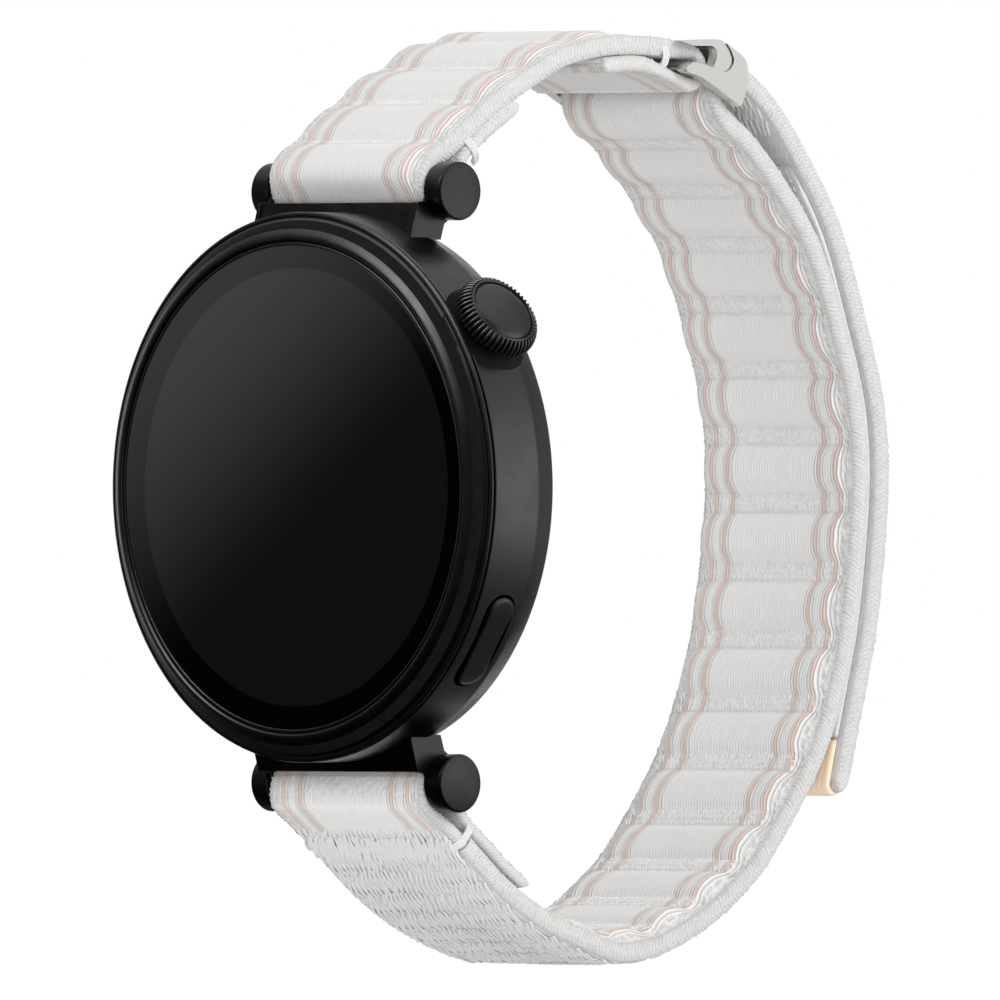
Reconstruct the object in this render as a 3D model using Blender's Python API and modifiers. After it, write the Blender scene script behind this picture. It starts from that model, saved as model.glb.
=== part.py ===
"""Round smart watch on a woven hook and loop strap.

Frame: origin at the middle of the face that rests on the wrist, +X towards 3 o'clock
(the crown side), +Z towards 12 o'clock, and the display looks along -Y.
All lengths are metres. Heights in the case are counted from the wrist face towards the
display, and depths of the strap are counted from the case seam towards the wrist.
"""
import math

import bpy
import bmesh
from mathutils import Matrix, Vector

# Clearances
FIT_GAP = 0.0003
SEAM_GAP = 0.00018
LAYER_GAP = 0.00015
OVERRUN = 0.001

# Case, bezel and glass
CASE_RADIUS = 0.02088
SEAM_HEIGHT = 0.0092
SIDE_BAND = SEAM_HEIGHT * 0.5054
CHAMFER_DROP = SEAM_HEIGHT * 0.2446
CHAMFER_STEP = 0.0007
CASE_WALL = 0.00328
BACK_LIP = 0.00198
BORE_RADIUS = CASE_RADIUS - CASE_WALL
BACK_SEAT_RADIUS = CASE_RADIUS - BACK_LIP
COVER_RIM = 0.0006
BEZEL_RISE = 0.00145
BEZEL_SPIGOT = 0.0011
BEZEL_WALL = 0.0009
BEZEL_WIDTH = 0.00243
GLASS_RADIUS = CASE_RADIUS - BEZEL_WIDTH
GLASS_THICKNESS = 0.0008
GLASS_SINK = 0.00018
GLASS_LEDGE = 0.0007
GLASS_BEVEL = 0.00025
GASKET_WIDTH = 0.0007
GASKET_HEIGHT = 0.0005

# Inside the case
PANEL_RADIUS = BORE_RADIUS * 0.943
PANEL_THICKNESS = 0.0008
FRAME_RADIUS = BORE_RADIUS * 0.903
FRAME_THICKNESS = 0.0006
BOARD_RADIUS = BORE_RADIUS * 0.864
BOARD_THICKNESS = 0.0008
BATTERY_LENGTH = BOARD_RADIUS * 1.25
BATTERY_WIDTH = BOARD_RADIUS * 1.085
STACK_DEPTH = 0.0065
BATTERY_HEIGHT = SEAM_HEIGHT - STACK_DEPTH
MOTOR_RADIUS = 0.0026
SPEAKER_LENGTH = BOARD_RADIUS * 0.66
SPEAKER_WIDTH = 0.0032
COVER_WALL = 0.0010
COVER_PLUG = 0.0008
COVER_PLUG_RADIUS = BORE_RADIUS - FIT_GAP
WINDOW_RADIUS = CASE_RADIUS * 0.6
COVER_DOME_RADIUS = WINDOW_RADIUS * 1.2
WINDOW_THICKNESS = 0.0010
SENSOR_RADIUS = WINDOW_RADIUS * 0.56
SENSOR_THICKNESS = 0.0007

# Crown
CROWN_ANGLE = math.radians(35.5)
CROWN_DEPTH = 0.0030
CROWN_HEIGHT = SEAM_HEIGHT - CROWN_DEPTH
CROWN_RADIUS = 0.00345
CROWN_PROUD = 0.00222
CROWN_REACH = CASE_RADIUS + CROWN_PROUD
CROWN_LENGTH = 0.0020
CROWN_RIDGES = 42
CROWN_RIDGE_DEPTH = 0.00022
CROWN_POCKET_DEPTH = 0.00068
CROWN_POCKET_FLOOR = CASE_RADIUS - CROWN_POCKET_DEPTH
CROWN_EDGE = 0.00025
CROWN_CAP_RADIUS = 0.0028
CROWN_CAP_DOME = 0.0002
CROWN_CAP_SINK = 0.0007
STEM_RADIUS = 0.0006
STEM_HEAD_RADIUS = 0.0010
STEM_HEAD_LENGTH = 0.0004
STEM_SEAT = 0.0009
TUBE_RADIUS = 0.0016
TUBE_PROUD = 0.0004
TUBE_LENGTH = 0.0036
TUBE_INNER_END = CROWN_POCKET_FLOOR + TUBE_PROUD - TUBE_LENGTH
SWITCH_LENGTH = 0.0030
SWITCH_WIDTH = 0.0020
SWITCH_DEPTH = 0.0012
SWITCH_SINK = 0.0021
SWITCH_FACE = BORE_RADIUS - SWITCH_SINK

# Side button
BUTTON_ANGLE = math.radians(-34.7)
BUTTON_SINK = 0.00285
BUTTON_HEIGHT = SEAM_HEIGHT - BUTTON_SINK
BUTTON_LENGTH = 0.0080
BUTTON_WIDTH = 0.0026
BUTTON_PROUD = 0.00012
BUTTON_DEPTH = 0.0010
BUTTON_TRAVEL = 0.0003
BUTTON_WELL = 0.0015
BUTTON_STEM_RADIUS = 0.0005
SPRING_RADIUS = 0.0009
SPRING_WIRE = 0.00011
SPRING_TURNS = 2.5

# Lugs and spring bars
STRAP_HALF_WIDTH = 0.0085
LUG_HALF_WIDTH = STRAP_HALF_WIDTH - FIT_GAP / 6.0
BARREL_INNER = STRAP_HALF_WIDTH + FIT_GAP
BAR_ROOM = 0.00157
BAR_DISTANCE = CASE_RADIUS + BAR_ROOM
BAR_DEPTH = SEAM_HEIGHT * 0.70652
LUG_CLEAR_RADIUS = 0.0025
BARREL_RADIUS = 0.00223
BARREL_LENGTH = 0.0016
BARREL_CHAMFER = 0.00022
GUSSET_OVERLAP = 0.0005
LUG_FOOT_SINK = 0.0008
LUG_FOOT_WIDTH = 0.0100
LUG_FOOT_HEIGHT = 0.0012
LUG_FOOT_PROUD = 0.00027
LUG_FOOT_TOP = CASE_RADIUS + LUG_FOOT_PROUD
SCREW_OFFSET = 0.0032
SCREW_RADIUS = 0.00035
SCREW_HEAD_RADIUS = 0.0008
SCREW_HEAD_HEIGHT = 0.0005
SCREW_REACH = 0.0009
BAR_RADIUS = 0.00075
PIN_RADIUS = 0.0004
PIN_REACH = 0.0008
PIN_SHANK = 0.0030
RELEASE_TRAVEL = 0.0010
LEVER_INSET = 0.0023
LEVER_OFFSET = STRAP_HALF_WIDTH - LEVER_INSET
LEVER_RADIUS = 0.0005
LEVER_REACH = 0.0026
LEVER_TURN = math.radians(-20.0)

# Strap
STRAP_THICKNESS = 0.0015
STRAP_SWELL = 0.00022
CELL_PITCH = 0.00533
SELVEDGE = 0.00055
STRAP_STEP = 0.0018
BEND_STEP = math.radians(30.0)
FLAP_THICKNESS = 0.0009
POCKET_THICKNESS = 0.0009
POCKET_BULGE = 0.0012
BAR_SLACK = 0.00015
POCKET_SLACK = 0.0003
LEG_THICKNESS = 0.0011
SWELL_FADE = 0.0030
CELL_SPREAD = 0.0011
SLEEVE_BUTT = 0.0002
SLEEVE_REACH = 0.0085
FOLD_REACH = 0.0060
LOOP_REACH = 0.0476
HOOK_THICKNESS = 0.0004
TAIL_BULGE = 0.0014
TAIL_BULGE_LENGTH = 0.0180
TAIL_LIFT = 0.0028
TAIL_LIFT_LENGTH = 0.0103
TAIL_SEAM = 0.0003
TAIL_CUT = 0.0034
TAIL_ROUND = 0.0013
TAB_LENGTH = 0.0034
TAB_MARGIN = 0.0004
PATCH_START = 0.0090
PATCH_INSET = 0.0006

# Buckle
BUCKLE_SPAN = 0.00467
BUCKLE_TILT = math.radians(-13.0)
CHEEK_THICKNESS = 0.00105
FRONT_BAR_RADIUS = 0.0004
REAR_BAR_LENGTH = 0.0016
REAR_BAR_THICKNESS = 0.0008
END_THICKNESS = 0.0011
FOLD_THICKNESS = 0.0012
FOLD_END = math.radians(40.0)
CHEEK_EDGE = 0.00012

# Counts and plain ratios
CURVE_PARTS = 24
CELL_SHARPNESS = 0.7
TAIL_LAST = 12

# Points of the loop: share of LOOP_REACH behind the spring bars, share of BAR_DISTANCE
# above the middle of the watch, and for the long strap how much of half its thickness it
# reaches inwards, where the cloth bunches at the bend. The inner layer runs from the lower
# lug round the back to the buckle.
FRONT_BAR_SHARES = (0.640, 1.376)
# The bezel's face: share of its width outwards from the glass, share of its rise downwards.
BEZEL_SHARES = (
    (0.00, 0.16), (0.05, 0.04), (0.15, 0.00), (0.27, 0.06), (0.40, 0.20), (0.52, 0.38),
    (0.68, 0.60), (0.84, 0.76),
)
# Where a rounded selvedge starts and ends: share of SELVEDGE inwards, share of the reach.
EDGE_SHARES = ((0.0, 0.35), (0.35, 0.80), (1.0, 1.0))
MIDDLE_SHARE = 0.83
# The rounded corner at the free end: share of its radius back from the end, and sunk.
END_SHARES = ((1.0, 0.0), (0.6, 0.08), (0.25, 0.34), (0.0, 0.9))
LONG_STRAP_SHARES = (
    (0.056, -1.205, 1.00), (0.092, -1.269, 1.00), (0.131, -1.336, 1.00), (0.176, -1.399, 1.05),
    (0.231, -1.461, 1.20), (0.286, -1.508, 1.40), (0.340, -1.546, 1.60), (0.401, -1.577, 1.75),
    (0.473, -1.563, 1.85), (0.544, -1.512, 1.85), (0.613, -1.437, 1.80), (0.676, -1.341, 1.70),
    (0.718, -1.261, 1.60), (0.790, -1.069, 1.50), (0.845, -0.891, 1.50), (0.888, -0.673, 1.40),
    (0.916, -0.423, 1.15), (0.938, -0.009, 1.05), (0.929, 0.267, 1.05), (0.888, 0.548, 1.00),
    (0.829, 0.828, 1.00), (0.753, 1.033, 1.00), (0.685, 1.173, 1.00), (0.641, 1.240, 1.00),
)
UPPER_STRAP_SHARES = (
    (0.000, 1.122), (0.045, 1.182), (0.096, 1.260), (0.150, 1.330), (0.206, 1.390),
    (0.272, 1.455), (0.359, 1.492), (0.445, 1.499), (0.508, 1.490),
)
# The buckle's side plate, as shares of BUCKLE_SPAN behind and above the front bar: from
# the horn's tip over the lobe to the lower tip, back along the arm, and round the hollow.
CHEEK_SHARES = (
    (-1.34, 0.670), (-1.00, 0.690), (-0.52, 0.696), (-0.36, 0.640), (-0.18, 0.540),
    (-0.02, 0.450), (0.10, 0.330), (0.135, 0.130), (0.10, -0.090), (0.00, -0.360),
    (-0.10, -0.350), (-0.86, 0.050), (-1.20, 0.150), (-1.26, 0.230), (-1.06, 0.325),
    (-0.67, 0.245), (-0.61, 0.280), (-0.56, 0.370), (-0.545, 0.480), (-0.58, 0.550),
    (-0.68, 0.590), (-1.02, 0.590), (-1.20, 0.630),
)
# The hood's wall between the upper strap's end and the fold, in the same shares.
HOOD_SHARES = (
    (-0.66, 0.595), (-0.66, 0.686), (-0.52, 0.688), (-0.38, 0.632), (-0.385, 0.310),
    (-0.455, 0.310), (-0.47, 0.555),
)


def behind(depth):
    """World Y of a depth counted from the case seam."""
    return depth - SEAM_HEIGHT


CASE_FOOT = SEAM_HEIGHT - SIDE_BAND - CHAMFER_DROP
BAR_Y = behind(BAR_DEPTH)


def loop_point(shares):
    back, up = shares[:2]
    return Vector((BAR_Y + back * LOOP_REACH, up * BAR_DISTANCE))


FRONT_BAR = loop_point(FRONT_BAR_SHARES)
REAR_BAR = FRONT_BAR - BUCKLE_SPAN * Vector((math.cos(BUCKLE_TILT), math.sin(BUCKLE_TILT)))

parts = bpy.data.collections.new("smart_watch_with_strap")
cutters = bpy.data.collections.new("cutters")


# Scene and object helpers

def clear_scene():
    for old in list(bpy.data.objects):
        bpy.data.objects.remove(old, do_unlink=True)
    bpy.context.scene.collection.children.link(parts)
    bpy.context.scene.collection.children.link(cutters)


def finish_material(name, colour, roughness, metallic):
    made = bpy.data.materials.get(name)
    if made is None:
        made = bpy.data.materials.new(name)
        made.use_nodes = True
        shader = made.node_tree.nodes["Principled BSDF"]
        shader.inputs["Base Color"].default_value = (*colour, 1.0)
        shader.inputs["Roughness"].default_value = roughness
        shader.inputs["Metallic"].default_value = metallic
    return made


FINISHES = {
    "black_metal": ((0.045, 0.045, 0.05), 0.34, 1.0),
    "glass": ((0.01, 0.01, 0.012), 0.06, 0.0),
    "panel": ((0.02, 0.02, 0.025), 0.15, 0.0),
    "rubber": ((0.03, 0.03, 0.03), 0.80, 0.0),
    "board": ((0.02, 0.12, 0.06), 0.50, 0.0),
    "cell": ((0.55, 0.56, 0.58), 0.35, 0.6),
    "plastic": ((0.06, 0.06, 0.06), 0.50, 0.0),
    "steel": ((0.60, 0.60, 0.60), 0.30, 1.0),
    "warm_metal": ((0.56, 0.54, 0.51), 0.38, 1.0),
    "weave": ((0.76, 0.75, 0.73), 0.90, 0.0),
    "hook_tape": ((0.45, 0.45, 0.44), 0.85, 0.0),
    "peach_tape": ((0.85, 0.62, 0.44), 0.70, 0.0),
    "thread": ((0.80, 0.78, 0.75), 0.85, 0.0),
}


def new_object(name, mesh, finish):
    """Link a mesh as a part, or as a cutter where finish is None."""
    made = bpy.data.objects.new(name, mesh)
    if finish is None:
        cutters.objects.link(made)
        made.hide_render = True
        made.display_type = "WIRE"
    else:
        parts.objects.link(made)
        made.data.materials.append(finish_material(finish, *FINISHES[finish]))
    return made


def mesh_of(name, shape):
    mesh = bpy.data.meshes.new(name)
    shape.to_mesh(mesh)
    shape.free()
    return mesh


def hang_on(made, place):
    """Put an object's origin on the hinge line through this (Y, Z) place."""
    spot = Vector((0.0, place.x, place.y))
    made.data.transform(Matrix.Translation(-spot))
    made.location = spot
    return made


def combine(target, tool, operation):
    change = target.modifiers.new(tool.name, "BOOLEAN")
    change.operation = operation
    change.solver = "EXACT"
    change.object = tool


def cut(target, *tools):
    for tool in tools:
        combine(target, tool, "DIFFERENCE")


def weld(target, *tools):
    for tool in tools:
        combine(target, tool, "UNION")


def bevel(target, width, segments=1, angle=35.0):
    made = target.modifiers.new("rounded_edges", "BEVEL")
    made.width = width
    made.segments = segments
    made.limit_method = "ANGLE"
    made.angle_limit = math.radians(angle)
    made.use_clamp_overlap = True


def smooth(made, angle=40.0):
    made.data.shade_smooth()
    made.data.set_sharp_from_angle(angle=math.radians(angle))
    return made


# Frames to place pieces in

WATCH_AXIS = Matrix.Rotation(math.radians(90.0), 4, "X")


def radial_frame(angle, height):
    """Local +Z points out of the case side at this angle from +X towards +Z."""
    out = Vector((math.cos(angle), 0.0, math.sin(angle)))
    front = Vector((0.0, -1.0, 0.0))
    side = front.cross(out)
    turn = Matrix((side, front, out)).transposed().to_4x4()
    return Matrix.Translation(Vector((0.0, -height, 0.0))) @ turn


def cross_frame(depth_y, rise):
    """Local +Z points along +X, local +X along world +Y, on a line across the strap."""
    turn = Matrix(((0.0, 0.0, 1.0), (1.0, 0.0, 0.0), (0.0, 1.0, 0.0))).to_4x4()
    return Matrix.Translation(Vector((0.0, depth_y, rise))) @ turn


# Shape makers

def turned(name, profile, finish, frame=WATCH_AXIS, steps=64):
    """Turn a profile of (radius, height) about local Z. It runs down the outer side."""
    shape = bmesh.new()
    points = [shape.verts.new((radius, 0.0, height)) for radius, height in profile]
    for first, second in zip(points, points[1:]):
        shape.edges.new((first, second))
    if profile[0][0] > 0.0:
        shape.edges.new((points[-1], points[0]))
    made = new_object(name, mesh_of(name, shape), finish)
    turn = made.modifiers.new("turn", "SCREW")
    turn.axis = "Z"
    turn.steps = steps
    turn.render_steps = steps
    turn.use_merge_vertices = True
    turn.merge_threshold = FIT_GAP * 0.01
    turn.use_smooth_shade = True
    made.matrix_world = frame
    return made


def rod(name, radius, start, end, finish, frame, segments=16):
    shape = bmesh.new()
    place = Matrix.Translation(Vector((0.0, 0.0, (start + end) / 2.0)))
    bmesh.ops.create_cone(shape, cap_ends=True, segments=segments, radius1=radius,
                          radius2=radius, depth=end - start, matrix=place)
    made = new_object(name, mesh_of(name, shape), finish)
    made.matrix_world = frame
    return smooth(made)


def block(name, size, centre, finish, frame=None):
    shape = bmesh.new()
    place = Matrix.Translation(Vector(centre)) @ Matrix.Diagonal(Vector((*size, 1.0)))
    bmesh.ops.create_cube(shape, size=1.0, matrix=place)
    made = new_object(name, mesh_of(name, shape), finish)
    made.matrix_world = frame or Matrix.Identity(4)
    return made


def extruded(name, outline, low, high, finish, frame):
    """A flat outline in local X and Y, thickened from low to high along local Z."""
    shape = bmesh.new()
    face = shape.faces.new([shape.verts.new((x, y, low)) for x, y in outline])
    face.normal_update()
    if face.normal.z > 0.0:
        face.normal_flip()
    grown = bmesh.ops.extrude_face_region(shape, geom=[face])
    top = [item for item in grown["geom"] if isinstance(item, bmesh.types.BMVert)]
    bmesh.ops.translate(shape, verts=top, vec=Vector((0.0, 0.0, high - low)))
    bmesh.ops.recalc_face_normals(shape, faces=shape.faces)
    made = new_object(name, mesh_of(name, shape), finish)
    made.matrix_world = frame
    return made


def pill_outline(length, width, arc_steps=8):
    """A long hole's outline with its length along local X."""
    reach = (length - width) / 2.0
    points = []
    for side in (1.0, -1.0):
        for step in range(arc_steps + 1):
            turn = math.pi * (step / arc_steps - 0.5)
            points.append((side * (reach + width / 2.0 * math.cos(turn)),
                           side * width / 2.0 * math.sin(turn)))
    return points


def pill(name, length, width, low, high, finish, frame):
    return extruded(name, pill_outline(length, width), low, high, finish, frame)


# Strap helpers. A station is (Y, Z, left, right): a place in the plane X = 0, and how far
# the cloth reaches to the left and to the right of it, seen along the route.

def station(place, left, right):
    return Vector((place.x, place.y, left, right))


def gap_between(a, b):
    return math.hypot(b[0] - a[0], b[1] - a[1])


def travelled(route):
    lengths = [0.0]
    for a, b in zip(route, route[1:]):
        lengths.append(lengths[-1] + gap_between(a, b))
    return lengths


def smooth_route(points, step):
    """A Catmull-Rom curve through the stations, read more often where it bends."""
    fine = []
    padded = [2.0 * points[0] - points[1], *points, 2.0 * points[-1] - points[-2]]
    for a, b, c, d in zip(padded, padded[1:], padded[2:], padded[3:]):
        for part in range(CURVE_PARTS):
            t = part / CURVE_PARTS
            fine.append(0.5 * (2.0 * b + (c - a) * t + (2.0 * a - 5.0 * b + 4.0 * c - d) * t ** 2
                               + (3.0 * b - a - 3.0 * c + d) * t ** 3))
    fine.append(points[-1].copy())
    weights = [0.0]
    for index in range(1, len(fine)):
        bend = left_of(fine, index - 1).angle(left_of(fine, index))
        stretch = gap_between(fine[index - 1], fine[index])
        weights.append(weights[-1] + stretch / step + bend / BEND_STEP)
    count = max(2, round(weights[-1]))
    return [read_at(fine, weights, weights[-1] * index / count) for index in range(count + 1)]


def read_at(route, marks, goal):
    """The station where a running mark along the route reaches the goal."""
    for index in range(len(route) - 1):
        if marks[index + 1] >= goal:
            span = marks[index + 1] - marks[index]
            return route[index].lerp(route[index + 1], (goal - marks[index]) / span)
    return route[-1].copy()


def arc(centre, radius, start, end, count, left, right):
    """Stations round a centre, angles in degrees from +Y towards +Z."""
    made = []
    for index in range(count + 1):
        turn = math.radians(start + (end - start) * index / count)
        ray = Vector((math.cos(turn), math.sin(turn)))
        made.append(station(centre + radius * ray, left, right))
    return made


def left_of(route, index):
    """The left-hand normal of a route at one of its stations."""
    before = route[max(index - 1, 0)]
    after = route[min(index + 1, len(route) - 1)]
    return Vector((before[1] - after[1], after[0] - before[0])).normalized()


def beside(route, index, distance):
    return Vector(route[index][:2]) + left_of(route, index) * distance


def swollen(route, lead, trail):
    """Pad the cells on the left face, leaving a lead and a trail at the ends flat."""
    lengths = travelled(route)
    made = []
    for place, length in zip(route, lengths):
        phase = (length / CELL_PITCH) % 1.0
        fading = min(1.0, (length - lead) / SWELL_FADE, (lengths[-1] - trail - length) / SWELL_FADE)
        swell = STRAP_SWELL * max(0.0, fading) * math.sin(math.pi * phase) ** CELL_SHARPNESS
        made.append(place + Vector((0.0, 0.0, swell, 0.0)))
    return made


def ribbon(name, route, finish, half_width=STRAP_HALF_WIDTH, edge=SELVEDGE):
    """A band of cloth along a route: round selvedges, and a middle that can stand higher.

    Where the middle stands higher, the far side of the band spreads too.
    """
    shape = bmesh.new()
    rings = []
    for index, place in enumerate(route):
        normal = left_of(route, index)
        corners = []
        rim = min(place[2], place[3])
        far = -half_width - CELL_SPREAD * (place[2] - rim) / rim
        for way, reach in ((1.0, place[2]), (-1.0, place[3])):
            row = [(far + inwards * edge, out * rim) for inwards, out in EDGE_SHARES]
            row += [(far * MIDDLE_SHARE, reach), (half_width * MIDDLE_SHARE, reach)]
            row += [(half_width - inwards * edge, out * rim)
                    for inwards, out in EDGE_SHARES[::-1]]
            if way < 0.0:
                row.reverse()
            for across, out in row:
                spot = Vector(place[:2]) + normal * out * way
                corners.append(shape.verts.new((across, spot.x, spot.y)))
        rings.append(corners)
    for first, second in zip(rings, rings[1:]):
        for index in range(len(first)):
            after = (index + 1) % len(first)
            shape.faces.new((first[index], first[after], second[after], second[index]))
    shape.faces.new(rings[0][::-1])
    shape.faces.new(rings[-1])
    bmesh.ops.recalc_face_normals(shape, faces=shape.faces)
    return smooth(new_object(name, mesh_of(name, shape), finish), 50.0)


# Case

def make_case():
    top = SEAM_HEIGHT - SEAM_GAP
    band_foot = SEAM_HEIGHT - SIDE_BAND
    seat = CASE_FOOT + COVER_RIM + GASKET_HEIGHT + 2.0 * LAYER_GAP
    rebate = BORE_RADIUS + GASKET_WIDTH + 2.0 * LAYER_GAP
    rebate_floor = top - GASKET_HEIGHT
    profile = [(rebate, top), (CASE_RADIUS - SEAM_GAP, top), (CASE_RADIUS, top - SEAM_GAP),
               (CASE_RADIUS, band_foot), (CASE_RADIUS - CHAMFER_STEP, CASE_FOOT),
               (BACK_SEAT_RADIUS, CASE_FOOT), (BACK_SEAT_RADIUS, seat),
               (BORE_RADIUS, seat), (BORE_RADIUS, rebate_floor), (rebate, rebate_floor)]
    case = turned("mid_case", profile, "black_metal", steps=72)
    crown = radial_frame(CROWN_ANGLE, CROWN_HEIGHT)
    pocket_radius = CROWN_RADIUS + FIT_GAP
    cut(case,
        rod("cut_crown_pocket", pocket_radius, CROWN_POCKET_FLOOR, CASE_RADIUS + OVERRUN,
            None, crown, 32),
        rod("cut_crown_hole", TUBE_RADIUS + FIT_GAP, BORE_RADIUS - OVERRUN,
            CASE_RADIUS + OVERRUN, None, crown, 20))
    button = radial_frame(BUTTON_ANGLE, BUTTON_HEIGHT)
    well_floor = CASE_RADIUS - BUTTON_DEPTH - BUTTON_WELL
    cut(case,
        pill("cut_button_well", BUTTON_LENGTH + 2.0 * SEAM_GAP, BUTTON_WIDTH + 2.0 * SEAM_GAP,
             well_floor, CASE_RADIUS + OVERRUN, None, button),
        rod("cut_button_hole", BUTTON_STEM_RADIUS + FIT_GAP, BORE_RADIUS - OVERRUN,
            CASE_RADIUS, None, button, 16))
    for way, label in ((1.0, "upper"), (-1.0, "lower")):
        cut(case, lug_foot("cut_" + label + "_foot", way, FIT_GAP, None))
        for side in (1.0, -1.0):
            cut(case, rod("cut_screw_hole", SCREW_RADIUS + FIT_GAP, BORE_RADIUS - OVERRUN,
                          CASE_RADIUS, None, screw_frame(way, side), 12))
    return case


def make_bezel():
    rise = SEAM_HEIGHT + BEZEL_RISE
    ring_inner = GLASS_RADIUS + SEAM_GAP
    width = CASE_RADIUS - ring_inner
    lip = SEAM_HEIGHT + SEAM_GAP
    bore = ring_inner - GLASS_LEDGE - BEZEL_WALL
    ledge = rise - GLASS_SINK - GLASS_THICKNESS - LAYER_GAP
    spigot = SEAM_HEIGHT - BEZEL_SPIGOT
    outer = [(ring_inner + width * across, rise - BEZEL_RISE * down)
             for across, down in BEZEL_SHARES]
    outer += [(CASE_RADIUS - SEAM_GAP, lip + SEAM_GAP), (CASE_RADIUS, lip),
              (CASE_RADIUS - SEAM_GAP, SEAM_HEIGHT),
             (BORE_RADIUS - FIT_GAP, SEAM_HEIGHT), (BORE_RADIUS - FIT_GAP, spigot),
             (bore, spigot), (bore, ledge), (ring_inner, ledge)]
    return turned("bezel_ring", outer, "black_metal", steps=64)


def make_glass():
    top = SEAM_HEIGHT + BEZEL_RISE - GLASS_SINK
    low = top - GLASS_THICKNESS
    profile = [(0.0, top), (GLASS_RADIUS - GLASS_BEVEL, top), (GLASS_RADIUS, top - GLASS_BEVEL),
               (GLASS_RADIUS, low), (0.0, low)]
    turned("cover_glass", profile, "glass", steps=72)
    panel_top = low - FIT_GAP
    disc("display_panel", PANEL_RADIUS, panel_top - PANEL_THICKNESS, panel_top, "panel", 48)
    return panel_top - PANEL_THICKNESS


def disc(name, radius, low, high, finish, steps=40):
    return turned(name, [(0.0, high), (radius, high), (radius, low), (0.0, low)], finish,
                  steps=steps)


def ring(name, inner, outer, low, high, finish, steps=48):
    profile = [(inner, high), (outer, high), (outer, low), (inner, low)]
    return turned(name, profile, finish, steps=steps)


def make_insides(panel_low):
    """Movement frame, board, battery and drives, stacked from the display to the back."""
    frame_top = panel_low - FIT_GAP
    frame_low = frame_top - FRAME_THICKNESS
    disc("movement_frame", FRAME_RADIUS, frame_low, frame_top, "steel")
    board_top = frame_low - FIT_GAP
    board_low = board_top - BOARD_THICKNESS
    board = disc("circuit_board", BOARD_RADIUS, board_low, board_top, "board")
    notch = (SWITCH_LENGTH + 4.0 * FIT_GAP, 2.0 * BUTTON_WIDTH,
             2.0 * (SWITCH_DEPTH + 2.0 * FIT_GAP))
    for angle, height, label in ((CROWN_ANGLE, CROWN_HEIGHT, "crown"),
                                 (BUTTON_ANGLE, BUTTON_HEIGHT, "button")):
        place = radial_frame(angle, height)
        cut(board, block("cut_board_" + label, notch, (0.0, 0.0, BOARD_RADIUS), None, place))
        block(label + "_switch", (SWITCH_LENGTH, SWITCH_WIDTH, SWITCH_DEPTH),
              (0.0, 0.0, SWITCH_FACE - SWITCH_DEPTH / 2.0), "plastic", place)
    cell_high = board_low - FIT_GAP
    cell_low = cell_high - BATTERY_HEIGHT
    middle = -(cell_high + cell_low) / 2.0
    cell = block("battery", (BATTERY_LENGTH, BATTERY_HEIGHT, BATTERY_WIDTH),
                 (0.0, middle, 0.0), "cell")
    bevel(cell, BATTERY_HEIGHT * 0.2)
    beside = BATTERY_WIDTH / 2.0 + FIT_GAP
    speaker = block("speaker", (SPEAKER_LENGTH, BATTERY_HEIGHT, SPEAKER_WIDTH),
                    (0.0, middle, -beside - SPEAKER_WIDTH / 2.0), "plastic")
    bevel(speaker, SPEAKER_WIDTH * 0.1)
    motor_frame = Matrix.Translation(Vector((0.0, 0.0, beside + MOTOR_RADIUS))) @ WATCH_AXIS
    rod("vibration_motor", MOTOR_RADIUS, cell_low, cell_high, "steel", motor_frame, 24)


def make_back():
    rim_high = CASE_FOOT + COVER_RIM
    rim = BACK_SEAT_RADIUS - SEAM_GAP
    well = WINDOW_THICKNESS + FIT_GAP
    window_seat = WINDOW_RADIUS + SEAM_GAP
    plug_high = rim_high + COVER_PLUG
    inner = SENSOR_RADIUS + FIT_GAP
    profile = [(COVER_PLUG_RADIUS - COVER_WALL, plug_high), (COVER_PLUG_RADIUS, plug_high),
               (COVER_PLUG_RADIUS, rim_high), (rim, rim_high), (rim, CASE_FOOT),
               (rim - COVER_WALL, CASE_FOOT - FIT_GAP), (COVER_DOME_RADIUS, FIT_GAP * 2.0),
               (window_seat, FIT_GAP * 0.5), (window_seat, well), (inner, well),
               (inner, well + COVER_WALL), (COVER_DOME_RADIUS, well + COVER_WALL)]
    turned("back_cover", profile, "black_metal", steps=40)
    disc("sensor_window", WINDOW_RADIUS, 0.0, WINDOW_THICKNESS, "glass", 56)
    disc("sensor_board", SENSOR_RADIUS, well, well + SENSOR_THICKNESS, "board", 32)
    low = rim_high + LAYER_GAP
    ring("back_gasket", COVER_PLUG_RADIUS + FIT_GAP, BACK_SEAT_RADIUS - FIT_GAP, low,
         low + GASKET_HEIGHT, "rubber")
    top = SEAM_HEIGHT - SEAM_GAP
    ring("bezel_gasket", BORE_RADIUS + LAYER_GAP, BORE_RADIUS + LAYER_GAP + GASKET_WIDTH,
         top - GASKET_HEIGHT + LAYER_GAP, top, "rubber")


# Crown and button

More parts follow.
